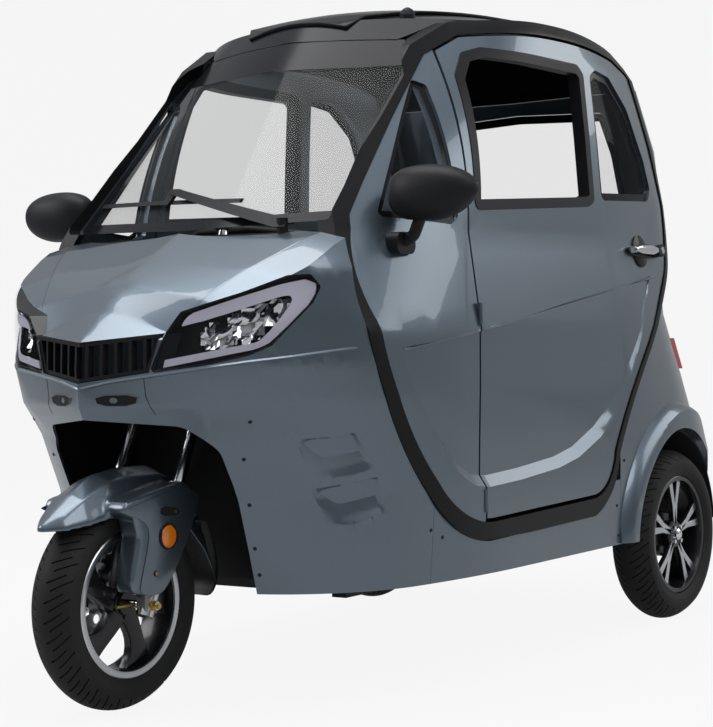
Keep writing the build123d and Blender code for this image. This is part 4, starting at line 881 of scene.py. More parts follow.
@dataclass
class RearWheel:
    """Rear wheel: tyre and black rim with machined paired spokes, chrome hub and nuts."""

    side: int
    body: Body
    name: str
    track_half: float = 0.494
    rim_half: float = 0.044
    lip_radius: float = 0.166
    barrel_radius: float = 0.146
    spoke_pairs: int = 5
    spoke_foot: float = 0.030
    spoke_lean: float = 0.17
    spoke_depth: float = 0.014
    waist: float = 0.55
    face_x: float = 0.022
    nuts: int = 4
    nut_circle: float = 0.027

    def build(self, shop: Workshop) -> None:
        """Make the wheel's pieces."""
        centre = (self.side * self.track_half, shop.at(WHEEL_BASE), WHEEL_RADIUS)
        Tyre().build(shop, f"rear_tyre_tread_{self.name}", f"rear_tyre_{self.name}", centre, self.body)
        rim = self.barrel(shop, centre)
        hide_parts(f"rear_rim_{self.name}")
        self.spokes(shop, centre)
        self.hub(shop, centre)

    def barrel(self, shop: Workshop, centre: Point) -> bpy.types.Object:
        """Well of the rim, its lip and the brake drum behind the spokes, from (x, radius) profiles."""
        half, lip = self.rim_half, self.lip_radius
        profile = [(-half - 0.004, lip - 0.001), (-half + 0.001, lip - 0.001), (-half, 0.158),
                   (-half + 0.012, 0.1575), (half - 0.012, 0.1575), (half, 0.158),
                   (half - 0.001, lip - 0.001), (half + 0.003, lip - 0.001),
                   (half + 0.0045, lip - 0.004), (half + 0.003, 0.152), (half - 0.012, 0.1475),
                   (0.012, self.barrel_radius), (-half + 0.012, 0.1475), (-half - 0.004, 0.151)]
        drum = [(-0.034, 0.0146), (-0.034, 0.060), (-0.028, 0.064), (0.000, 0.064), (0.006, 0.058),
                (0.012, 0.0146)]
        shape = Shape().ring_profile(sideways(profile, self.side), centre, 96)
        shape.ring_profile(sideways(drum, self.side), centre, 48)
        return shop.make(shape, f"rear_rim_barrel_{self.name}", "dark_alloy", self.body)

    def spoke_outline(self, lean: float, outer_half: float, inner_half: float) -> list[Flat]:
        """Outline of one straight spoke that leans from the hub to the barrel.

        Args:
            lean: angle between the spoke's foot and its outer end.
            outer_half: half its width at the barrel.
            inner_half: half its width from the hub to its waist.

        Returns:
            The closed outline.
        """
        far = self.barrel_radius + 0.003
        left, right = [], []
        for radius, half, turn in ((self.spoke_foot, inner_half, 0.0),
                                   (far * self.waist, inner_half, lean * 0.5),
                                   (far, outer_half, lean)):
            (u, v), (across_v, across_u) = polar(radius, turn), polar(half, turn)
            left.append((u - across_u, v + across_v))
            right.append((u + across_u, v - across_v))
        return left + right[::-1]

    def spokes(self, shop: Workshop, centre: Point) -> None:
        """Black spokes with a bright machined face, in pairs."""
        black, bright = Shape(), Shape()
        start = self.face_x if self.side > 0 else -self.face_x - self.spoke_depth
        back = wheel_plane(centre[0] + start, centre)
        face = wheel_plane(centre[0] + self.side * (self.face_x + 0.0128), centre)
        for lean in (-self.spoke_lean, self.spoke_lean):
            outline = self.spoke_outline(lean, 0.0125, 0.0095)
            black.absorb(Shape().plate([outline], back, self.spoke_depth).crisp(0.002, 2))
            outline = self.spoke_outline(lean, 0.0100, 0.0070)
            bright.absorb(Shape().plate([outline], face, self.side * 0.002).crisp(0.0006, 1))
        black.repeat(self.spoke_pairs, centre)
        bright.repeat(self.spoke_pairs, centre)
        shop.make(black, f"rear_spokes_{self.name}", "dark_alloy", self.body)
        shop.make(bright, f"rear_spoke_faces_{self.name}", "machined_alloy", self.body)

    def hub(self, shop: Workshop, centre: Point) -> None:
        """Hub boss, chrome cap and nuts, from (x, radius) profiles."""
        end = self.face_x + 0.0145
        boss = [(0.006, 0.0146), (0.006, 0.040), (self.face_x + 0.010, 0.040), (end, 0.036),
                (end, 0.0146)]
        shape = Shape().ring_profile(sideways(boss, self.side), centre, 40)
        shop.make(shape, f"rear_hub_{self.name}", "dark_alloy", self.body)
        face = self.side * end
        cap = [(0.0, 0.0001), (0.0, 0.0175), (0.010, 0.0165), (0.0145, 0.011), (0.016, 0.0001)]
        bright = Shape().ring_profile([(face + self.side * x, r) for x, r in cap], centre, 32)
        for number in range(self.nuts):
            angle = math.tau * (number + 0.5) / self.nuts
            place = (centre[0] + face + self.side * 0.0045,
                     centre[1] + self.nut_circle * math.cos(angle),
                     centre[2] + self.nut_circle * math.sin(angle))
            bright.bar(place, 0.0062, 0.010, "X", 6)
        shop.make(bright, f"rear_nuts_{self.name}", "chrome_plate", self.body)


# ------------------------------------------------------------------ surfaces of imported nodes
class Skin:
    """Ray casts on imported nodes, to seat pieces on their surfaces."""

    def __init__(self, frame: dict, *names: str) -> None:
        """Gather the nodes' faces.

        Args:
            frame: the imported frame.
            names: the nodes to cast on.
        """
        points: list[Vector] = []
        faces: list[tuple[int, ...]] = []
        for name in names:
            data = frame["nodes"][name].data
            start = len(points)
            points += [vertex.co.copy() for vertex in data.vertices]
            faces += [tuple(start + index for index in face.vertices) for face in data.polygons]
        self.tree = BVHTree.FromPolygons(points, faces)

    def cast(self, origin: Sequence[float], direction: Sequence[float]) -> tuple[Vector, Vector]:
        """First point met from an origin along a direction, and the normal there."""
        point, normal, _, _ = self.tree.ray_cast(Vector(origin), Vector(direction).normalized())
        if point is None:
            return Vector(origin), -Vector(direction).normalized()
        if normal.dot(Vector(direction)) > 0:
            normal = -normal
        return point, normal

    def trace(self, shop: Workshop, points: Sequence[Point], facing: Point, steps: int, reach: float,
              furthest: float = math.inf) -> list[tuple[Vector, Vector, Vector]]:
        """Follow the surface along a line of corners.

        Args:
            shop: the workshop.
            points: (x, station, height) of the corners.
            facing: the direction from which the line is cast onto the surface.
            steps: casts along each stretch.
            reach: how far off the line a cast starts.
            furthest: a cast that lands further from the line than this is left out.

        Returns:
            The point, the normal and the way along the line at each cast.
        """
        out = Vector(facing).normalized()
        spots = []
        for (x0, s0, z0), (x1, s1, z1) in zip(points, points[1:]):
            for step in range(steps):
                share = step / steps
                place = Vector((x0 + (x1 - x0) * share, shop.at(s0 + (s1 - s0) * share),
                                z0 + (z1 - z0) * share))
                point, normal = self.cast(place + out * reach, -out)
                if (point - place).length < furthest:
                    spots.append((point, normal))
        last = len(spots) - 1
        return [(point, normal, spots[min(n + 1, last)][0] - spots[max(n - 1, 0)][0])
                for n, (point, normal) in enumerate(spots)]

    def from_left(self, y: float, z: float) -> tuple[Vector, Vector]:
        """Point on the car's left side at a y and a height."""
        return self.cast((1.5, y, z), (-1, 0, 0))

    def from_above(self, x: float, y: float) -> tuple[Vector, Vector]:
        """Point on the top at an x and a y."""
        return self.cast((x, y, 3.0), (0, 0, -1))

    def from_front(self, x: float, z: float) -> tuple[Vector, Vector]:
        """Point on the nose at an x and a height."""
        return self.cast((x, -3.0, z), (0, 1, 0))


def facing_out(point: Vector, normal: Vector, off: float) -> Matrix:
    """Matrix of a surface's plane at a point: the third axis is the normal, moved off by a little."""
    turn = normal.to_track_quat("Z", "Y").to_matrix().to_4x4()
    return Matrix.Translation(point + normal * off) @ turn


def merged_copy(frame: dict, name: str) -> BMesh:
    """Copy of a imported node's mesh with its loose triangles joined."""
    mesh = bmesh.new()
    mesh.from_mesh(frame["nodes"][name].data)
    bmesh.ops.remove_doubles(mesh, verts=mesh.verts, dist=2 * WELD)
    bmesh.ops.recalc_face_normals(mesh, faces=mesh.faces)
    return mesh


def even_copy(frame: dict, name: str, voxel: float) -> bpy.types.Mesh:
    """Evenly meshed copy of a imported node.

    Args:
        frame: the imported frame.
        name: the node.
        voxel: size of the mesh's cells.

    Returns:
        The new mesh.
    """
    source = merged_copy(frame, name)
    data = bpy.data.meshes.new(name + "_rough")
    source.to_mesh(data)
    source.free()
    rough = put(name + "_rough", data)
    remesh = rough.modifiers.new("voxels", "REMESH")
    remesh.mode = "VOXEL"
    remesh.voxel_size = voxel
    return applied(rough)


def rounded(points: Sequence[Flat], times: int) -> list[Flat]:
    """Cut the corners of a closed outline, as often as asked."""
    loop = list(points)
    for _ in range(times):
        cut = []
        for (u0, v0), (u1, v1) in zip(loop, loop[1:] + loop[:1]):
            cut += [(0.75 * u0 + 0.25 * u1, 0.75 * v0 + 0.25 * v1),
                    (0.25 * u0 + 0.75 * u1, 0.25 * v0 + 0.75 * v1)]
        loop = cut
    return loop


def along(points: Sequence[Flat], count: int) -> list[Flat]:
    """Evenly spaced points along an open line of corners."""
    lengths = [0.0]
    for (u0, v0), (u1, v1) in zip(points, points[1:]):
        lengths.append(lengths[-1] + math.hypot(u1 - u0, v1 - v0))
    spaced = []
    for step in range(count):
        reach = lengths[-1] * step / (count - 1)
        part = next(n for n in range(1, len(lengths)) if reach <= lengths[n] + 1e-9)
        share = (reach - lengths[part - 1]) / (lengths[part] - lengths[part - 1])
        (u0, v0), (u1, v1) = points[part - 1], points[part]
        spaced.append((u0 + (u1 - u0) * share, v0 + (v1 - v0) * share))
    return spaced


# ------------------------------------------------------------------ front end
@dataclass
class FrontGuard:
    """Front mudguard: softened shell, reflectors, slots painted as shade, screws, caps and rubber flap."""

    cover_x: float = 0.1212
    cover_wall: float = 0.0026
    # (station, height) of the outlines and places on the side covers
    cover: tuple[Flat, ...] = (
        (-0.100, 0.457), (-0.010, 0.476), (0.1049, 0.498), (0.1513, 0.4702), (0.1533, 0.4549),
        (0.1148, 0.380), (0.0707, 0.3157), (0.0324, 0.2727), (0.0092, 0.262), (-0.0314, 0.2628),
        (-0.0533, 0.2742), (-0.0527, 0.2894), (-0.0187, 0.3884), (-0.0243, 0.4196),
        (-0.0634, 0.4385), (-0.108, 0.452),
    )
    slot: tuple[Flat, ...] = (
        (0.0165, 0.434), (0.0765, 0.431), (0.084, 0.438), (0.079, 0.447), (0.021, 0.457),
    )
    reflector: Flat = (0.0415, 0.387)
    reflector_radius: float = 0.0265
    bolt: Flat = (0.068, 0.440)
    screw: Flat = (-0.0026, 0.3097)
    flap_half: float = 0.066
    flap_wall: float = 0.003
    flap: tuple[Flat, ...] = (
        (0.262, 0.400), (0.286, 0.345), (0.296, 0.290), (0.290, 0.245), (0.272, 0.222),
    )
    voxel: float = 0.0035
    smoothing: int = 14

    def build(self, shop: Workshop) -> None:
        """Make the guard's pieces."""
        self.shell(shop)
        self.covers(shop)
        self.fittings(shop)
        self.rubber(shop)

    def shell(self, shop: Workshop) -> None:
        """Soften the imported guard's creases, in its place."""
        shape = Shape().take(even_copy(shop.frame, "front_fender", self.voxel)).soften(self.smoothing)
        guard = shop.make(shape, "front_guard_shell", "blue_steel_paint", Body.STEERING, smooth=True)
        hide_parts("front_fender")

    def covers(self, shop: Workshop) -> None:
        """Flat side covers over the fork's lower legs, with a crisp rim."""
        plane = wheel_plane(self.cover_x - self.cover_wall, (0, shop.at(0), 0))
        shape = Shape().plate([rounded(self.cover, 1)], plane, self.cover_wall)
        shape.crisp(0.0011, 3).mirrored()
        shop.make(shape, "guard_side_covers", "blue_steel_paint", Body.STEERING)

    def fittings(self, shop: Workshop) -> None:
        """Reflectors, slots and screws on both side covers; each slot is a flat black plate that paints the
        shade in its recess.
        """
        amber, black, steel = Shape(), Shape(), Shape()
        station, height = self.reflector
        y = shop.at(station)
        radius = self.reflector_radius
        face = [(0.0035, 0.0001), (0.0030, radius * 0.5), (0.0012, radius * 0.9), (-0.001, radius),
                (-0.004, radius)]
        amber.ring_profile(face, (self.cover_x + 0.0032, y, height), 40, closed=False)
        ring = [(0.004, radius), (0.004, radius + 0.0012), (0.001, radius + 0.0032),
                (-0.006, radius + 0.0036), (-0.006, radius)]
        black.ring_profile(ring, (self.cover_x + 0.0015, y, height), 40)
        plane = wheel_plane(self.cover_x - 0.0022, (0, shop.at(0), 0))
        # painted shade: the slot's recess is a flat black plate, dark as the shade in it
        black.plate([rounded(self.slot, 1)], plane, 0.0026)
        for (s, z), size in ((self.bolt, 0.0042), (self.screw, 0.0046)):
            steel.bar((self.cover_x + 0.001, shop.at(s), z), size, 0.004, "X", 6)
        station, height = self.screw
        black.bar((self.cover_x + 0.0002, shop.at(station), height), 0.0066, 0.0024, "X", 20)
        for shape in (amber, black, steel):
            shape.mirrored()
        shop.make(amber, "guard_reflectors", "amber_lens", Body.STEERING)
        shop.make(black, "guard_black_rings_and_slot_shade", "satin_black_plastic", Body.STEERING)
        shop.make(steel, "guard_screws", "passivated_brass", Body.STEERING)

    def rubber(self, shop: Workshop) -> None:
        """Rubber flap behind the wheel, narrower at its foot."""
        rings = []
        for station, height in self.flap:
            wide = self.flap_half - 0.010 * (height < 0.24)
            rings.append([(x, shop.at(station - 0.010 * (x / self.flap_half) ** 2), height)
                          for x in (-wide, -0.6 * wide, -0.2 * wide, 0.2 * wide, 0.6 * wide, wide)])
        flap = Shape().loft(rings).thicken(self.flap_wall)
        shop.make(flap, "guard_flap", "weather_rubber", Body.STEERING, subdivisions=1)


@dataclass
class ForkEnds:
    """Lower ends of the fork: clamps, axle nuts and the caps on the sliders."""

    half: float = 0.092
    slider: float = 0.262
    # (distance outwards, radius, length, sides) of the washer, the nut and the axle's end
    axle_end: tuple[tuple[float, float, float, int], ...] = (
        (0.018, 0.0125, 0.004, 32), (0.0245, 0.0108, 0.011, 6), (0.031, 0.0062, 0.010, 20),
    )
    # (distance up the slider, radius) of the cap's sections
    cap: tuple[Flat, ...] = ((0.0, 0.0235), (0.006, 0.0265), (0.020, 0.0255), (0.024, 0.0165))

    def build(self, shop: Workshop) -> None:
        """Make the fork's fittings."""
        brass, cast = Shape(), Shape()
        x, y, z = self.half, shop.at(0), WHEEL_RADIUS
        cast.box((x - 0.014, y - 0.022, z - 0.020), (x + 0.016, y + 0.018, z + 0.030))
        cast.crisp(0.005, 3).mirrored()
        for out, radius, length, sides in self.axle_end:
            brass.bar((x + out, y, z), radius, length, "X", sides)
        brass.bar((x - 0.020, y - 0.050, z + 0.004), 0.0042, 0.060, "Y", 14)
        brass.mirrored()
        shop.make(cast, "fork_end_clamps", "cast_alloy", Body.STEERING)
        shop.make(brass, "fork_axle_nuts", "passivated_brass", Body.STEERING)
        lean = Vector((0, math.sin(RAKE), math.cos(RAKE)))
        seat = Vector((x, y, z)) + lean * self.slider
        caps = Shape().tube([seat + lean * up for up, _ in self.cap],
                            [radius for _, radius in self.cap], 32)
        shop.make(caps.mirrored(), "fork_slider_caps", "machined_alloy", Body.STEERING)


@dataclass
class Headlamps:
    """Headlamps behind the lenses: a light bar round chrome facets."""

    origin: Point = (0.300, 0.060, 0.860)
    across: Point = (0.83, 0.56, 0.0)
    outward: Point = (0.56, -0.83, 0.0)
    # (across, up) of the light bar's two edges, of the bowls' centres and their half size
    outer: tuple[Flat, ...] = (
        (-0.150, -0.098), (0.051, -0.062), (0.078, -0.051), (0.124, -0.010), (0.164, 0.030),
        (0.182, 0.058), (0.184, 0.078), (0.160, 0.088), (0.110, 0.078), (0.010, 0.048),
        (-0.087, 0.017), (-0.100, 0.004), (-0.107, -0.008),
    )
    inner: tuple[Flat, ...] = (
        (-0.146, -0.081), (0.050, -0.048), (0.059, -0.045), (0.085, -0.021), (0.112, 0.012),
        (0.130, 0.038), (0.133, 0.048), (0.126, 0.054), (0.104, 0.050), (0.000, 0.018),
        (-0.060, 0.001), (-0.085, -0.004), (-0.104, -0.009),
    )
    bowls: tuple[Flat, ...] = ((-0.028, -0.036), (0.032, -0.012), (0.092, 0.020))
    bowl_size: Flat = (0.040, 0.036)
    rim_depth: float = 0.030
    bowl_depth: float = 0.022
    uneven: float = 0.0035
    facet_wall: float = 0.0012
    steps: int = 56
    bar_in: float = 0.0075
    bar_wall: float = 0.004
    cell: float = 0.0098
    seed: int = 7

    def place(self, shop: Workshop, u: float, v: float, skin: Skin, depth: float) -> Vector:
        """Point behind the lens at the lamp's own coordinates."""
        outward = Vector(self.outward).normalized()
        across = Vector(self.across).normalized()
        x, station, z = self.origin
        base = Vector((x, shop.at(station), z)) + across * u + Vector((0, 0, v))
        point, _ = skin.cast(base + outward * 0.3, -outward)
        return point - outward * depth

    def build(self, shop: Workshop) -> None:
        """Make both lamps' insides."""
        skin = Skin(shop.frame, "headlamp_lenses", "front_shell", "hood")
        lines = [along(edge, self.steps) for edge in (self.outer, self.inner)]
        edges = [[self.place(shop, u, v, skin, self.bar_in) for u, v in line] for line in lines]
        bar = Shape().loft(edges).thicken(self.bar_wall).mirrored()
        shop.make(bar, "headlamp_light_bars", "light_tube", Body.CAR)
        self.facets(shop, skin)

    def facets(self, shop: Workshop, skin: Skin) -> None:
        """Chrome reflector of small flat facets in three bowls, in the window of the light bar."""
        draw = random.Random(self.seed)
        shape = Shape()
        (low_u, high_u), (low_v, high_v) = ((min(row), max(row)) for row in zip(*self.inner))
        columns, rows = int((high_u - low_u) / self.cell), int((high_v - low_v) / self.cell)
        grid = {}
        for i in range(columns + 1):
            for j in range(rows + 1):
                u, v = low_u + i * self.cell, low_v + j * self.cell
                depth = self.rim_depth + self.bowl_depth * max(0.0, 1 - self.bowl_share(u, v) ** 2)
                depth += draw.uniform(-self.uneven, self.uneven)
                grid[i, j] = shape.mesh.verts.new(self.place(shop, u, v, skin, depth))
        for i in range(columns):
            for j in range(rows):
                u, v = low_u + (i + 0.5) * self.cell, low_v + (j + 0.5) * self.cell
                if inside(u, v, self.inner) and self.bowl_share(u, v) < 1.0:
                    shape.mesh.faces.new((grid[i, j], grid[i + 1, j], grid[i + 1, j + 1]))
                    shape.mesh.faces.new((grid[i, j], grid[i + 1, j + 1], grid[i, j + 1]))
        loose = [vert for vert in shape.mesh.verts if not vert.link_faces]
        bmesh.ops.delete(shape.mesh, geom=loose, context="VERTS")
        shape.mirrored().thicken(self.facet_wall)
        shop.make(shape, "headlamp_reflectors", "chrome_plate", Body.CAR)

    def bowl_share(self, u: float, v: float) -> float:
        """Distance from the nearest bowl's centre as a share of its size."""
        wide, high = self.bowl_size
        return min(math.hypot((u - cu) / wide, (v - cv) / high) for cu, cv in self.bowls)


def inside(u: float, v: float, loop: Sequence[Flat]) -> bool:
    """Whether a point lies inside a closed outline."""
    hit = False
    for (u0, v0), (u1, v1) in zip(loop, [*loop[1:], loop[0]]):
        if (v0 > v) != (v1 > v) and u < (u1 - u0) * (v - v0) / (v1 - v0) + u0:
            hit = not hit
    return hit


@dataclass
class Bonnet:
    """Bonnet with its loft's facets eased into one flowing surface; its rim stays."""

    spacing: float = 0.016
    halvings: int = 7
    rounds: int = 60
    rim_angle: float = 40.0
    held: float = 0.006
    fade: float = 0.035

    def build(self, shop: Workshop) -> None:
        """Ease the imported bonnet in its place."""
        mesh = merged_copy(shop.frame, "hood")
        limit = math.radians(self.rim_angle)
        rim = [(edge.verts[0].co.copy(), edge.verts[1].co.copy()) for edge in mesh.edges
               if len(edge.link_faces) != 2 or edge.calc_face_angle(0.0) > limit]
        for _ in range(self.halvings):
            bmesh.ops.triangulate(mesh, faces=mesh.faces)
            long = [edge for edge in mesh.edges if edge.calc_length() > self.spacing]
            if not long:
                break
            bmesh.ops.subdivide_edges(mesh, edges=long, cuts=1)
        bmesh.ops.triangulate(mesh, faces=mesh.faces)
        data = bpy.data.meshes.new("bonnet_even")
        mesh.to_mesh(data)
        mesh.free()
        holder = put("bonnet_even", data)
        free = holder.vertex_groups.new(name="free")
        for vert in data.vertices:
            near = min(self.distance(vert.co, a, b) for a, b in rim)
            free.add([vert.index], min(max((near - self.held) / self.fade, 0.0), 1.0), "REPLACE")
        ease = holder.modifiers.new("ease", "SMOOTH")
        ease.factor, ease.iterations, ease.vertex_group = 0.5, self.rounds, "free"
        shape = Shape().take(applied(holder))
        bonnet = shop.make(shape, "bonnet_panel", "blue_steel_paint", Body.CAR)
        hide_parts("hood")

    @staticmethod
    def distance(point: Vector, start: Vector, end: Vector) -> float:
        """Distance from a point to a straight stretch."""
        foot, share = geometry.intersect_point_line(point, start, end)
        if 0 <= share <= 1:
            return (foot - point).length
        return min((start - point).length, (end - point).length)


@dataclass
class CreaseBeads:
    """Raised creases of the bodywork: the nose's upper edge and the belt line."""

    half: float = 0.0032
    rise: float = 0.0026
    sunk: float = 0.0015
    taper: int = 4
    # (x, station, height) of each crease's corners
    nose: tuple[Point, ...] = (
        (0.0, -0.105, 0.716), (0.070, -0.080, 0.731), (0.150, -0.051, 0.742),
        (0.2655, -0.010, 0.757), (0.348, 0.058, 0.770), (0.404, 0.128, 0.778),
        (0.453, 0.209, 0.788), (0.483, 0.281, 0.795),
    )
    side: tuple[Point, ...] = (
        (0.514, 0.415, 0.788), (0.532, 0.535, 0.8055), (0.541, 0.681, 0.824), (0.541, 0.728, 0.830),
    )
    door: tuple[Point, ...] = (
        (0.5405, 0.752, 0.8335), (0.530, 1.1165, 0.882), (0.523, 1.468, 0.929), (0.507, 1.735, 0.9675),
    )

    def build(self, shop: Workshop) -> None:
        """Make the beads of the nose, the side panels and both doors."""
        fixed = Shape()
        self.bead(shop, fixed, Skin(shop.frame, "front_shell"), self.nose, (0.35, -0.94, 0))
        self.bead(shop, fixed, Skin(shop.frame, "side_panels"), self.side, (1, 0, 0))
        fixed.mirrored()
        shop.make(fixed, "body_creases", "blue_steel_paint", Body.CAR)
        for side, name, body in DOOR_SIDES:
            crease = Shape()
            self.bead(shop, crease, Skin(shop.frame, f"door_{name}"),
                      [(side * x, s, z) for x, s, z in self.door], (side, 0, 0))
            shop.make(crease, f"door_crease_{name}", "blue_steel_paint", body)

    def bead(self, shop: Workshop, shape: Shape, skin: Skin, points: Sequence[Point],
             facing: Point) -> None:
        """Low ridge that follows the surface and fades out at both ends.

        Args:
            shop: the workshop.
            shape: the shape that the ridge is added to.
            skin: the surface.
            points: (x, station, height) of the ridge's corners; each is cast onto the surface.
            facing: the direction from which the points are cast.
        """
        trail = skin.trace(shop, points, facing, 12, 0.2, 0.06)
        rows = []
        for number, (point, normal, ahead) in enumerate(trail):
            up = normal.cross(ahead).normalized()
            up = up if up.z > 0 else -up
            rise = self.rise * min(1.0, (number + 1) / self.taper, (len(trail) - number) / self.taper)
            rows.append([point - up * self.half - normal * self.sunk, point + normal * rise * 0.9,
                         point + up * self.half * 0.5 + normal * rise,
                         point + up * self.half * 2.2 - normal * self.sunk])
        shape.absorb(Shape().loft(rows, closed=True))


@dataclass
class NoseDetails:
    """Bumper inserts with their holes, panel seams and small fasteners; the inserts are black plates that
    paint the shade of the bumper's recesses.
    """

    seam_width: float = 0.0016
    seam_wall: float = 0.0012
    # (x, height) of the insert's middle and of its corners from there
    hole: Flat = (0.079, 0.6925)
    insert: tuple[Flat, ...] = (
        (-0.048, 0.0115), (0.052, 0.0115), (0.044, -0.0115), (-0.040, -0.0115),
    )
    button_radius: float = 0.0052
    # (x, height) round the wheel arch, and (station, height) along the sill and the flare
    arch_buttons: tuple[Flat, ...] = (
        (0.322, 0.640), (0.284, 0.556), (0.268, 0.452), (0.262, 0.352), (0.262, 0.292),
    )
    side_buttons: tuple[Flat, ...] = (
        (0.505, 0.372), (0.545, 0.352), (1.388, 0.352), (1.398, 0.272), (1.430, 0.470), (1.442, 0.560),
    )

    def build(self, shop: Workshop) -> None:
        """Make the nose's small pieces."""
        skin = Skin(shop.frame, "front_shell", "hood", "sills", "rear_body")
        self.seams(shop, skin)
        self.holes(shop, skin)
        self.fasteners(shop, skin)

    def seams(self, shop: Workshop, skin: Skin) -> None:
        """Thin dark seams beside the bumper, laid on the surface."""
        shape = Shape()
        for side in (1, -1):
            corners = [(side * 0.142, -0.05, 0.742), (side * 0.144, -0.05, 0.700),
                       (side * 0.158, -0.04, 0.655)]
            rows = []
            for point, normal, ahead in skin.trace(shop, corners, (side * 0.3, -1, 0), 10, 0.25):
                across = ahead.cross(normal).normalized() * self.seam_width / 2
                rows.append([point + across + normal * 0.0004, point - across + normal * 0.0004])
            shape.absorb(Shape().loft(rows).thicken(self.seam_wall))
        shop.make(shape, "nose_seams", "satin_black_plastic", Body.CAR)

    def holes(self, shop: Workshop, skin: Skin) -> None:
        """Shaped insert with an oval hole on each side of the bumper's middle, in a painted rim: a black
        plate that paints the shade of the recess there and is also read as a black plastic insert.
        """
        place = facing_out(*skin.from_front(*self.hole), -0.001)
        insert = rounded(self.insert, 1)
        oval = [(u * 1.25, v * 0.85) for u, v in circle(0.0075, 28, -0.004)]
        # painted shade: this black plate gives the recess the colour of its shade, and also stands as a black
        # plastic insert
        dark = Shape().plate([insert, oval], place, 0.0018)
        rim = Shape().plate([[(u * 1.07, v * 1.26) for u, v in insert], insert], place, 0.0030)
        rim.crisp(0.0010, 2)
        shop.make(rim.mirrored(), "bumper_insert_rims", "blue_steel_paint", Body.CAR)
        shop.make(dark.mirrored(), "bumper_recess_shade_inserts", "satin_black_plastic", Body.CAR)

    def fasteners(self, shop: Workshop, skin: Skin) -> None:
        """Domed push fasteners along the arch, sill and flare."""
        shape = Shape()
        spots = [skin.from_front(x, z) for x, z in self.arch_buttons]
        spots += [skin.from_left(shop.at(s), z) for s, z in self.side_buttons]
        for point, normal in spots:
            bmesh.ops.create_cone(shape.mesh, cap_ends=True, segments=16, radius1=self.button_radius,
                                  radius2=self.button_radius * 0.62, depth=0.0026,
                                  matrix=facing_out(point, normal, 0.0006))
        shop.make(shape.mirrored(), "panel_fasteners", "satin_black_plastic", Body.CAR)


@dataclass
class SideVents:
    """Louvred vents pressed into the sides of the front shell.

    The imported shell's own skin is cut along the vents' edges and pressed in behind them.
    """

    # (x, station, height) of top front, top rear, foot rear and foot front
    louvres: tuple[tuple[Point, ...], ...] = (
        ((0.3785, 0.173, 0.597), (0.462, 0.283, 0.607), (0.4767, 0.343, 0.5255), (0.3887, 0.224, 0.503)),
        ((0.3797, 0.223, 0.484), (0.4761, 0.350, 0.505), (0.4800, 0.376, 0.424), (0.4070, 0.270, 0.394)),
    )
    depth: float = 0.017
    lip: float = 0.0045
    # share of the way down where the lip starts, and how steeply it and both ends rise
    lip_start: float = 0.8
    lip_slope: float = 3.0
    front_slope: float = 3.2
    rear_slope: float = 11.0
    rows: int = 9
    columns: int = 11
    reach: float = 0.35

    def build(self, shop: Workshop) -> None:
        """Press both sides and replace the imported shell."""
        mesh = merged_copy(shop.frame, "front_shell")
        for side in (1, -1):
            for corners in self.louvres:
                self.press(shop, mesh, corners, side)
        bmesh.ops.recalc_face_normals(mesh, faces=mesh.faces)
        shell = shop.make(Shape(mesh), "front_shell_pressed", "blue_steel_paint", Body.CAR)
        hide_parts("front_shell")

    def press(self, shop: Workshop, mesh: BMesh, corners: Sequence[Point], side: int) -> None:
        """Press one louvre, deep at its top edge, with a slight lip at its foot.

        Args:
            shop: the workshop.
            mesh: the shell's mesh, which is changed.
            corners: top front, top rear, foot rear and foot front, as (x, station, height).
            side: 1 for the left, -1 for the right.
        """
        spots = [Vector((side * x, shop.at(s), z)) for x, s, z in corners]
        middle = sum(spots, Vector()) / 4
        normal = (spots[1] - spots[0]).cross(spots[3] - spots[0]).normalized()
        if normal.x * side < 0:
            normal = -normal
        near = [face for face in mesh.faces if face.normal.dot(normal) > 0.6
                and (face.calc_center_median() - middle).length < self.reach]
        for count, (a0, a1, b0, b1) in ((self.rows, (0, 3, 1, 2)), (self.columns, (0, 1, 3, 2))):
            for share in [n / count for n in range(count + 1)]:
                a, b = spots[a0].lerp(spots[a1], share), spots[b0].lerp(spots[b1], share)
                near = self.cut(mesh, near, a, (b - a).cross(normal))
        verts = {vert for face in near if face.is_valid for vert in face.verts}
        for vert in verts:
            u, v = self.share_of(vert.co, spots, normal)
            if -1e-4 <= u <= 1.0001 and 0.02 <= v <= 1.0001:
                u, v = min(max(u, 0.0), 1.0), min(v, 1.0)
                fade = min(1.0, u * self.front_slope) ** 0.7 * min(1.0, (1 - u) * self.rear_slope)
                foot = self.lip * max(0.0, v - self.lip_start) * self.lip_slope
                sink = self.depth * (1 - v) ** 1.1 - foot
                vert.co -= normal * sink * fade

    @staticmethod
    def cut(mesh: BMesh, faces: Sequence[BMFace], point: Vector, normal: Vector) -> list[BMFace]:
        """Cut faces along a plane and return them with the new ones."""
        alive = [face for face in faces if face.is_valid]
        geom = list({item for face in alive for item in (*face.verts, *face.edges, face)})
        done = bmesh.ops.bisect_plane(mesh, geom=geom, dist=WELD, plane_co=point, plane_no=normal)
        return only(BMFace, done["geom"])

    @staticmethod
    def share_of(point: Vector, spots: Sequence[Vector], normal: Vector) -> tuple[float, float]:
        """Shares of the way from front to rear and from top to foot, in a louvre's plane."""
        v = 0.5
        for _ in range(6):
            left, right = spots[0].lerp(spots[3], v), spots[1].lerp(spots[2], v)
            across = right - left
            down = (spots[3] - spots[0]).lerp(spots[2] - spots[1], 0.5)
            square = across.cross(normal)
            v += (point - left).dot(square) / down.dot(square)
        left, right = spots[0].lerp(spots[3], v), spots[1].lerp(spots[2], v)
        across = right - left
        edge = (spots[3] - spots[0]).cross(normal)
        return (point - left).dot(edge) / across.dot(edge), v


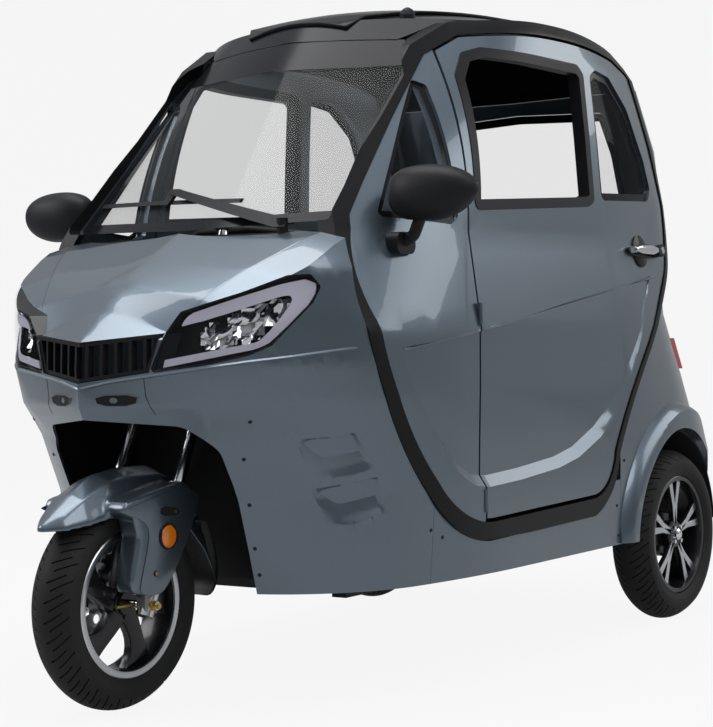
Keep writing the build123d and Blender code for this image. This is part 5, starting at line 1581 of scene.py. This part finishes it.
# ------------------------------------------------------------------ cabin outside
@dataclass
class GlassFrits:
    """Black printed borders along the rims of the glasses, just proud of their outer faces."""

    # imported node, piece, width and body
    borders: tuple[tuple[str, str, float, Body], ...] = (
        ("windscreen", "windscreen_border", 0.030, Body.CAR),
        ("quarter_windows", "quarter_glass_borders", 0.016, Body.CAR),
        ("door_glass_left", "rear_side_glass_border_left", 0.020, Body.LEFT_DOOR),
        ("door_glass_right", "rear_side_glass_border_right", 0.020, Body.RIGHT_DOOR),
        ("rear_window", "rear_window_border", 0.026, Body.CAR),
    )
    proud: float = 0.0006
    wall: float = 0.0007
    spacing: float = 0.012
    shortest: float = 0.4
    top_band: float = 0.075
    # shares of the glass's height: where the top band starts, and over which it grows
    band_start: float = 0.90
    band_fade: float = 0.08

    def build(self, shop: Workshop) -> None:
        """Make a border along the rim of each glass."""
        for node, name, width, body in self.borders:
            mesh = merged_copy(shop.frame, node)
            inner = [face for face in mesh.faces if not self.is_outer(face, node)]
            bmesh.ops.delete(mesh, geom=inner, context="FACES")
            skin = BVHTree.FromBMesh(mesh)
            shape = Shape()
            for loop in self.rims(mesh):
                self.border(shape, skin, loop, width, self.top_band if node == "windscreen" else 0.0)
            mesh.free()
            if shape.mesh.faces:
                shape.thicken(self.wall)
                shop.make(shape, name, "gloss_black_plastic", body)

    def rims(self, mesh: BMesh) -> list[list[Vector]]:
        """Closed rims of the faces left in a mesh, with even spacing.

        Args:
            mesh: the outer faces of one node's glasses.

        Returns:
            The points of each rim that is long enough to carry a border.
        """
        open_edges = {edge for edge in mesh.edges if len(edge.link_faces) == 1}
        rims = []
        while open_edges:
            walk = list(open_edges.pop().verts)
            while ahead := next((e for e in walk[-1].link_edges if e in open_edges), None):
                open_edges.remove(ahead)
                walk.append(ahead.other_vert(walk[-1]))
            points = [vert.co.copy() for vert in walk[:-1]]
            closed = points + points[:1]
            spans = [(q - p).length for p, q in zip(closed, closed[1:])]
            length = sum(spans)
            if length < self.shortest:
                continue
            count = int(length / self.spacing)
            rim, travelled, place = [], 0.0, 0
            for step in range(count):
                target = length * step / count
                while travelled + spans[place] < target:
                    travelled += spans[place]
                    place += 1
                share = (target - travelled) / max(spans[place], 1e-9)
                rim.append(closed[place].lerp(closed[place + 1], share))
            rims.append(rim)
        return rims

    def border(self, shape: Shape, skin: BVHTree, rim: Sequence[Vector], width: float,
               extra: float) -> None:
        """Band between a rim and its copy moved inwards over the glass.

        Args:
            shape: the shape that the band is added to.
            skin: the glass.
            rim: the glass's rim.
            width: the band's width.
            extra: how much wider the band is along the top.
        """
        count = len(rim)
        top, foot = max(point.z for point in rim), min(point.z for point in rim)
        normals = [skin.find_nearest(point)[1] for point in rim]
        aside = [(rim[(n + 1) % count] - rim[n - 1]).cross(normals[n]).normalized()
                 for n in range(count)]
        inwards = max((1, -1), key=lambda sign: sum(
            (skin.find_nearest(rim[n] + aside[n] * sign * width)[0] - rim[n]).length
            for n in range(count)))
        inner = []
        for n in range(count):
            height = (rim[n].z - foot) / (top - foot)
            reach = width + extra * min(max((height - self.band_start) / self.band_fade, 0.0), 1.0)
            point, normal, _, _ = skin.find_nearest(rim[n] + aside[n] * inwards * reach)
            inner.append(point + normal * self.proud)
        start = [shape.mesh.verts.new(rim[n] + normals[n] * self.proud) for n in range(count)]
        end = [shape.mesh.verts.new(point) for point in inner]
        for n in range(count):
            m = (n + 1) % count
            if (inner[n] - inner[m]).length > WELD:
                shape.mesh.faces.new((start[n], start[m], end[m], end[n]))

    @staticmethod
    def is_outer(face: BMFace, node: str) -> bool:
        """Whether a face of a glass looks out of the cabin."""
        if face.calc_area() < 1e-8:
            return False
        if node == "windscreen":
            return face.normal.y < -0.3
        if node == "rear_window":
            return face.normal.y > 0.6
        return face.normal.x * (1 if face.calc_center_median().x > 0 else -1) > 0.7


@dataclass
class DoorHandles:
    """Door handles: black cup and base, chrome bar and lock."""

    height: float = 1.034
    cup_station: float = 1.622
    cup_radius: float = 0.045
    # (along the door, up) of each outline, from the cup's middle
    base: tuple[Flat, ...] = (
        (-0.085, -0.016), (0.118, -0.021), (0.130, 0.0), (0.118, 0.021), (-0.085, 0.016),
    )
    cap: tuple[Flat, ...] = ((0.070, -0.017), (0.122, -0.017), (0.122, 0.017), (0.070, 0.017))
    bar: tuple[Flat, ...] = ((-0.080, -0.010), (0.070, -0.014), (0.070, 0.014), (-0.080, 0.010))
    lock: float = 0.098
    posts: Flat = (-0.070, 0.060)
    # height off the door's surface and thickness of each layer
    cup_layer: Flat = (-0.004, 0.0085)
    base_layer: Flat = (-0.002, 0.010)
    cap_layer: Flat = (0.008, 0.022)
    bar_layer: Flat = (0.020, 0.011)
    lock_layer: Flat = (0.029, 0.0025)
    post_layer: Flat = (0.0, 0.022)

    def build(self, shop: Workshop) -> None:
        """Make the handle on both doors."""
        for side, name, body in DOOR_SIDES:
            skin = Skin(shop.frame, f"door_{name}")
            aim = (side * 1.5, shop.at(self.cup_station), self.height)
            place = facing_out(*skin.cast(aim, (-side, 0, 0)), 0.0)
            rearwards = 1 if (place.to_3x3() @ Vector((1, 0, 0))).y > 0 else -1

            def layer(shape: Shape, outline: Sequence[Flat], off: float, depth: float) -> None:
                """Add a plate of an outline, off the door's surface."""
                shape.plate([outline], place @ Matrix.Translation((0, 0, off)), depth)

            black = Shape()
            layer(black, circle(self.cup_radius, 40), *self.cup_layer)
            layer(black, sideways(rounded(self.base, 2), rearwards), *self.base_layer)
            black.crisp(0.0018, 2)
            layer(black, sideways(rounded(self.cap, 2), rearwards), *self.cap_layer)
            shop.make(black, f"handle_base_{name}", "gloss_black_plastic", body)
            chrome = Shape()
            layer(chrome, sideways(rounded(self.bar, 1), rearwards), *self.bar_layer)
            chrome.crisp(0.003, 3)
            layer(chrome, circle(0.010, 24, rearwards * self.lock), *self.lock_layer)
            for u in self.posts:
                layer(chrome, circle(0.008, 12, rearwards * u), *self.post_layer)
            piece = shop.make(chrome, f"handle_bar_{name}", "chrome_plate", body)
            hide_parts(f"door_handle_{name}")


@dataclass
class RoofPanel:
    """Raised panel on the roof with a rounded rim, and the aerial's foot."""

    half_front: float = 0.150
    half_rear: float = 0.330
    front: float = 0.735
    rear: float = 1.360
    raised: float = 0.0095
    rows: int = 15
    columns: int = 15
    # (x, station) of the aerial's foot, and (distance off the roof, radius) of its sections
    aerial: Flat = (0.268, 0.835)
    foot: tuple[Flat, ...] = ((-0.004, 0.020), (0.010, 0.019), (0.019, 0.013), (0.024, 0.004))

    def build(self, shop: Workshop) -> None:
        """Make the panel and the aerial's foot."""
        skin = Skin(shop.frame, "roof")
        rings = []
        for row in range(self.rows):
            share = row / (self.rows - 1)
            station = self.front + (self.rear - self.front) * share
            half = self.half_rear - (self.half_rear - self.half_front) * (1 - share) ** 2.6
            ring = []
            for column in range(self.columns):
                x = half * (2 * column / (self.columns - 1) - 1)
                point, normal = skin.from_above(x, shop.at(station))
                ring.append(point + normal * self.raised)
            rings.append(ring)
        panel = Shape().loft(rings).thicken(self.raised).crisp(0.004, 3, 60)
        shop.make(panel, "roof_panel", "gloss_black_plastic", Body.CAR)
        x, station = self.aerial
        point, normal = skin.from_above(x, shop.at(station))
        foot = Shape().tube([point + normal * off for off, _ in self.foot],
                            [radius for _, radius in self.foot], 24)
        shop.make(foot, "aerial_foot", "satin_black_plastic", Body.CAR)


@dataclass
class Mirrors:
    """Mirror heads, softened and drawn out towards their outer ends."""

    voxel: float = 0.006
    smoothing: int = 26
    # shares of a head's length: where it is fullest, and from there to its outer end
    fullest: float = 0.40
    half_length: float = 0.62
    drawn_out: float = 0.92
    bulge: float = 0.5
    flat_front: float = 0.35
    lift: float = 0.18

    def build(self, shop: Workshop) -> None:
        """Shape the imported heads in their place."""
        shape = Shape().take(even_copy(shop.frame, "mirror_heads", self.voxel)).soften(self.smoothing)
        for side in (1, -1):
            self.taper([vert for vert in shape.mesh.verts if vert.co.x * side > 0], side)
        heads = shop.make(shape, "mirror_shells", "satin_black_plastic", Body.CAR, smooth=True)
        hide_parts("mirror_heads")

    def taper(self, verts: Sequence[BMVert], side: int) -> None:
        """Draw one head to a point at its outer end, and round its front.

        Args:
            verts: the head's points.
            side: 1 for the left, -1 for the right.
        """
        spread = [vert.co.x * side for vert in verts]
        inner, reach = min(spread), max(spread) - min(spread)
        back = max(vert.co.y for vert in verts)
        heights = [vert.co.z for vert in verts]
        middle, half = (max(heights) + min(heights)) / 2, (max(heights) - min(heights)) / 2
        for vert in verts:
            outwards = (vert.co.x * side - inner) / reach
            share = (outwards - self.fullest) / self.half_length
            swell = math.sqrt(max(1 - self.drawn_out * share ** 2, 0.05))
            level = (vert.co.z - middle) / half
            front = swell * math.sqrt(max(1 - self.bulge * level * level, 0.2))
            vert.co.y = back - (back - vert.co.y) * (self.flat_front + (1 - self.flat_front) * front)
            vert.co.z = middle + (vert.co.z - middle) * swell + half * self.lift * (1 - swell)


# ------------------------------------------------------------------ seats
@dataclass
class Seats:
    """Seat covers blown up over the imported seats."""

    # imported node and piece
    nodes: tuple[tuple[str, str], ...] = (
        ("seat_front", "front_seat_cover"), ("seat_rear", "rear_seat_cover"),
    )
    voxel: float = 0.010
    frames: int = 16
    pressure: float = 3.0
    cap: float = 0.010
    smoothing: int = 6

    def build(self, shop: Workshop) -> None:
        """Make a cover for each seat."""
        for node, name in self.nodes:
            shape = self.inflated(shop, node, name).soften(self.smoothing)
            cover = shop.make(shape, name, "coated_cloth", Body.CAR, smooth=True)
            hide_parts(node)

    def inflated(self, shop: Workshop, node: str, name: str) -> Shape:
        """Even copy of a seat's mesh, swollen as cloth and capped.

        Args:
            shop: the workshop.
            node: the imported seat.
            name: the cover's name.

        Returns:
            The swollen shape.
        """
        even = even_copy(shop.frame, node, self.voxel)
        rest = [vert.co.copy() for vert in even.vertices]
        pad = put(name + "_pad", even)
        cloth = pad.modifiers.new("cloth", "CLOTH")
        cloth.settings.use_pressure = True
        cloth.settings.uniform_pressure_force = self.pressure
        cloth.settings.effector_weights.gravity = 0.0
        scene = bpy.context.scene
        for number in range(1, self.frames + 1):
            scene.frame_set(number)
        swollen = applied(pad)
        scene.frame_set(1)
        for vert, start in zip(swollen.vertices, rest):
            move = vert.co - start
            if move.length > self.cap:
                vert.co = start + move * (self.cap / move.length)
        return Shape().take(swollen)


# ------------------------------------------------------------------ studio
@dataclass
class Studio:
    """Pale floor, backdrop, soft lamps and the camera."""

    floor_half: float = 26.0
    floor_front: float = -9.0
    sweep_y: float = 7.0
    sweep_radius: float = 3.0
    wall_top: float = 14.0
    sweep_steps: int = 12
    floor_white: float = 1.0
    floor_grey: float = 0.42
    camera_share: float = 0.90
    glossy_share: float = 0.20
    paper_roughness: float = 0.9
    sky_colour: Colour = (0.92, 0.95, 1.0)
    # how far up a direction points where the sky starts to brighten and where it is brightest
    sky_span: Flat = (0.10, 0.75)
    horizon_strength: float = 0.12
    zenith_strength: float = 0.66
    # name, place, aim, width, height and power of each lamp
    lamp_rows: tuple[tuple[str, Point, Point, float, float, float], ...] = (
        ("overhead", (0.0, -0.8, 4.6), (0, -0.2, 0.6), 4.0, 2.6, 120.0),
        ("left_wall", (4.6, -1.2, 3.6), (0, 0, 0.9), 3.2, 1.6, 45.0),
        ("rear_left", (4.6, 5.0, 3.7), (0, 0.4, 0.9), 6.0, 2.6, 95.0),
        ("front_wall", (-4.2, -3.4, 3.4), (0, -0.8, 0.8), 3.4, 2.2, 100.0),
    )
    # azimuth, elevation and roll of the camera in degrees, and its place from the front axle
    camera_turn: Point = (34.82, 0.89, -1.21)
    camera_place: Point = (2.8962, -3.2416, 0.8403)
    lens: float = 95.9
    shift: Flat = (0.0138, -0.0078)

    def build(self, axle_y: float) -> None:
        """Make the backdrop, the world, the lamps and the camera."""
        self.backdrop()
        self.world()
        self.lamps()
        self.camera(axle_y)

    def pale(self) -> bpy.types.Material:
        """Backdrop finish: nearly white to the camera, with the object's shadow kept."""
        material = bpy.data.materials.new("backdrop_paper")
        material.use_nodes = True
        nodes = material.node_tree.nodes
        tree = Tree(material.node_tree)
        shader = nodes["Principled BSDF"]
        Tree.fill(shader, {"Base Color": self.grey(self.floor_grey), "Roughness": self.paper_roughness})
        glow = tree.add("Emission", {"Color": self.grey(self.floor_white)})
        rays = tree.add("LightPath")
        seen = tree.add("Math", operation="MAXIMUM")
        share = tree.add("Math", {1: self.camera_share}, operation="MULTIPLY")
        both = tree.add("Math", {1: self.glossy_share}, operation="MULTIPLY_ADD")
        mix = tree.add("MixShader")
        tree.join(
            (rays.outputs["Is Camera Ray"], seen.inputs[0]),
            (rays.outputs["Is Transmission Ray"], seen.inputs[1]),
            (seen.outputs[0], share.inputs[0]), (rays.outputs["Is Glossy Ray"], both.inputs[0]),
            (share.outputs[0], both.inputs[2]), (both.outputs[0], mix.inputs["Fac"]),
            (shader.outputs["BSDF"], mix.inputs[1]), (glow.outputs["Emission"], mix.inputs[2]),
            (mix.outputs["Shader"], nodes["Material Output"].inputs["Surface"]),
        )
        return material

    @staticmethod
    def grey(level: float) -> tuple[float, float, float, float]:
        """Opaque grey of a level."""
        return level, level, level, 1.0

    def backdrop(self) -> None:
        """Floor that turns up into a wall behind the car, as one sheet."""
        profile = [(self.floor_front, 0.0)]
        for step in range(self.sweep_steps + 1):
            turn = math.pi / 2 * step / self.sweep_steps
            profile.append((self.sweep_y + self.sweep_radius * math.sin(turn),
                            self.sweep_radius * (1 - math.cos(turn))))
        profile.append((self.sweep_y + self.sweep_radius, self.wall_top))
        mesh = bmesh.new()
        verts = [mesh.verts.new((-self.floor_half, y, z)) for y, z in profile]
        edges = [mesh.edges.new(pair) for pair in zip(verts, verts[1:])]
        swept = bmesh.ops.extrude_edge_only(mesh, edges=edges)
        bmesh.ops.translate(mesh, verts=only(BMVert, swept["geom"]), vec=(2 * self.floor_half, 0, 0))
        bmesh.ops.recalc_face_normals(mesh, faces=mesh.faces)
        data = bpy.data.meshes.new("backdrop")
        mesh.to_mesh(data)
        mesh.free()
        data.materials.append(self.pale())
        for face in data.polygons:
            face.use_smooth = True
        backdrop = put("backdrop", data)

    def world(self) -> None:
        """Sky that brightens upwards and lights the car softly, pale where it is seen."""
        world = bpy.data.worlds.new("studio")
        bpy.context.scene.world = world
        world.use_nodes = True
        nodes = world.node_tree.nodes
        tree = Tree(world.node_tree)
        light = nodes["Background"]
        Tree.fill(light, {"Color": (*self.sky_colour, 1.0)})
        place = tree.add("TexCoord")
        height = tree.add("SeparateXYZ")
        low, high = self.sky_span
        level = tree.add("MapRange", {"From Min": low, "From Max": high,
                                      "To Min": self.horizon_strength, "To Max": self.zenith_strength})
        seen = tree.add("Background", {"Color": self.grey(self.floor_white)})
        rays = tree.add("LightPath")
        mix = tree.add("MixShader")
        tree.join(
            (place.outputs["Generated"], height.inputs["Vector"]),
            (height.outputs["Z"], level.inputs["Value"]),
            (level.outputs["Result"], light.inputs["Strength"]),
            (rays.outputs["Is Camera Ray"], mix.inputs["Fac"]),
            (light.outputs["Background"], mix.inputs[1]),
            (seen.outputs["Background"], mix.inputs[2]),
            (mix.outputs["Shader"], nodes["World Output"].inputs["Surface"]),
        )

    def lamps(self) -> None:
        """Large soft lamps overhead and at three sides."""
        for name, place, aim, width, height, power in self.lamp_rows:
            lamp = bpy.data.lights.new(name, "AREA")
            lamp.shape = "RECTANGLE"
            lamp.size, lamp.size_y, lamp.energy = width, height, power
            holder = put(name, lamp)
            holder.location = place
            holder.rotation_euler = (Vector(aim) - Vector(place)).to_track_quat("-Z", "Y").to_euler()

    def camera(self, axle_y: float) -> None:
        """Camera at the view's angle."""
        azimuth, elevation, roll = (math.radians(angle) for angle in self.camera_turn)
        forward = Vector((-math.sin(azimuth) * math.cos(elevation),
                          math.cos(azimuth) * math.cos(elevation), -math.sin(elevation)))
        right = Vector((math.cos(azimuth), math.sin(azimuth), 0))
        up = right.cross(forward)
        side = right * math.cos(roll) + up * math.sin(roll)
        top = up * math.cos(roll) - right * math.sin(roll)
        x, y, z = self.camera_place
        data = bpy.data.cameras.new("camera")
        data.sensor_fit = "VERTICAL"
        data.sensor_height = 36.0
        data.lens = self.lens
        data.shift_x, data.shift_y = self.shift
        data.clip_end = 60.0
        holder = put("camera", data)
        holder.matrix_world = Matrix((
            (side.x, top.x, -forward.x, x),
            (side.y, top.y, -forward.y, y + axle_y),
            (side.z, top.z, -forward.z, z),
            (0, 0, 0, 1),
        ))
        bpy.context.scene.camera = holder


def main() -> None:
    """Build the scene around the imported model."""
    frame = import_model()
    low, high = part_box("front_tyre")
    axle_y = (low[1] + high[1]) / 2
    bpy.context.scene.view_settings.view_transform = "Standard"
    materials = Materials()
    Studio().build(axle_y)
    packed = PackedNodes(frame, materials)
    packed.dress()
    shop = Workshop(frame, materials, packed.shading, axle_y)
    FrontWheel().build(shop)
    RearWheel(1, Body.REAR_LEFT, "left").build(shop)
    RearWheel(-1, Body.REAR_RIGHT, "right").build(shop)
    FrontGuard().build(shop)
    ForkEnds().build(shop)
    Headlamps().build(shop)
    Bonnet().build(shop)
    SideVents().build(shop)
    NoseDetails().build(shop)
    CreaseBeads().build(shop)
    GlassFrits().build(shop)
    DoorHandles().build(shop)
    RoofPanel().build(shop)
    Mirrors().build(shop)
    Seats().build(shop)


if __name__ == "__main__":
    logging.basicConfig(level=logging.INFO, format="%(message)s")
    main()
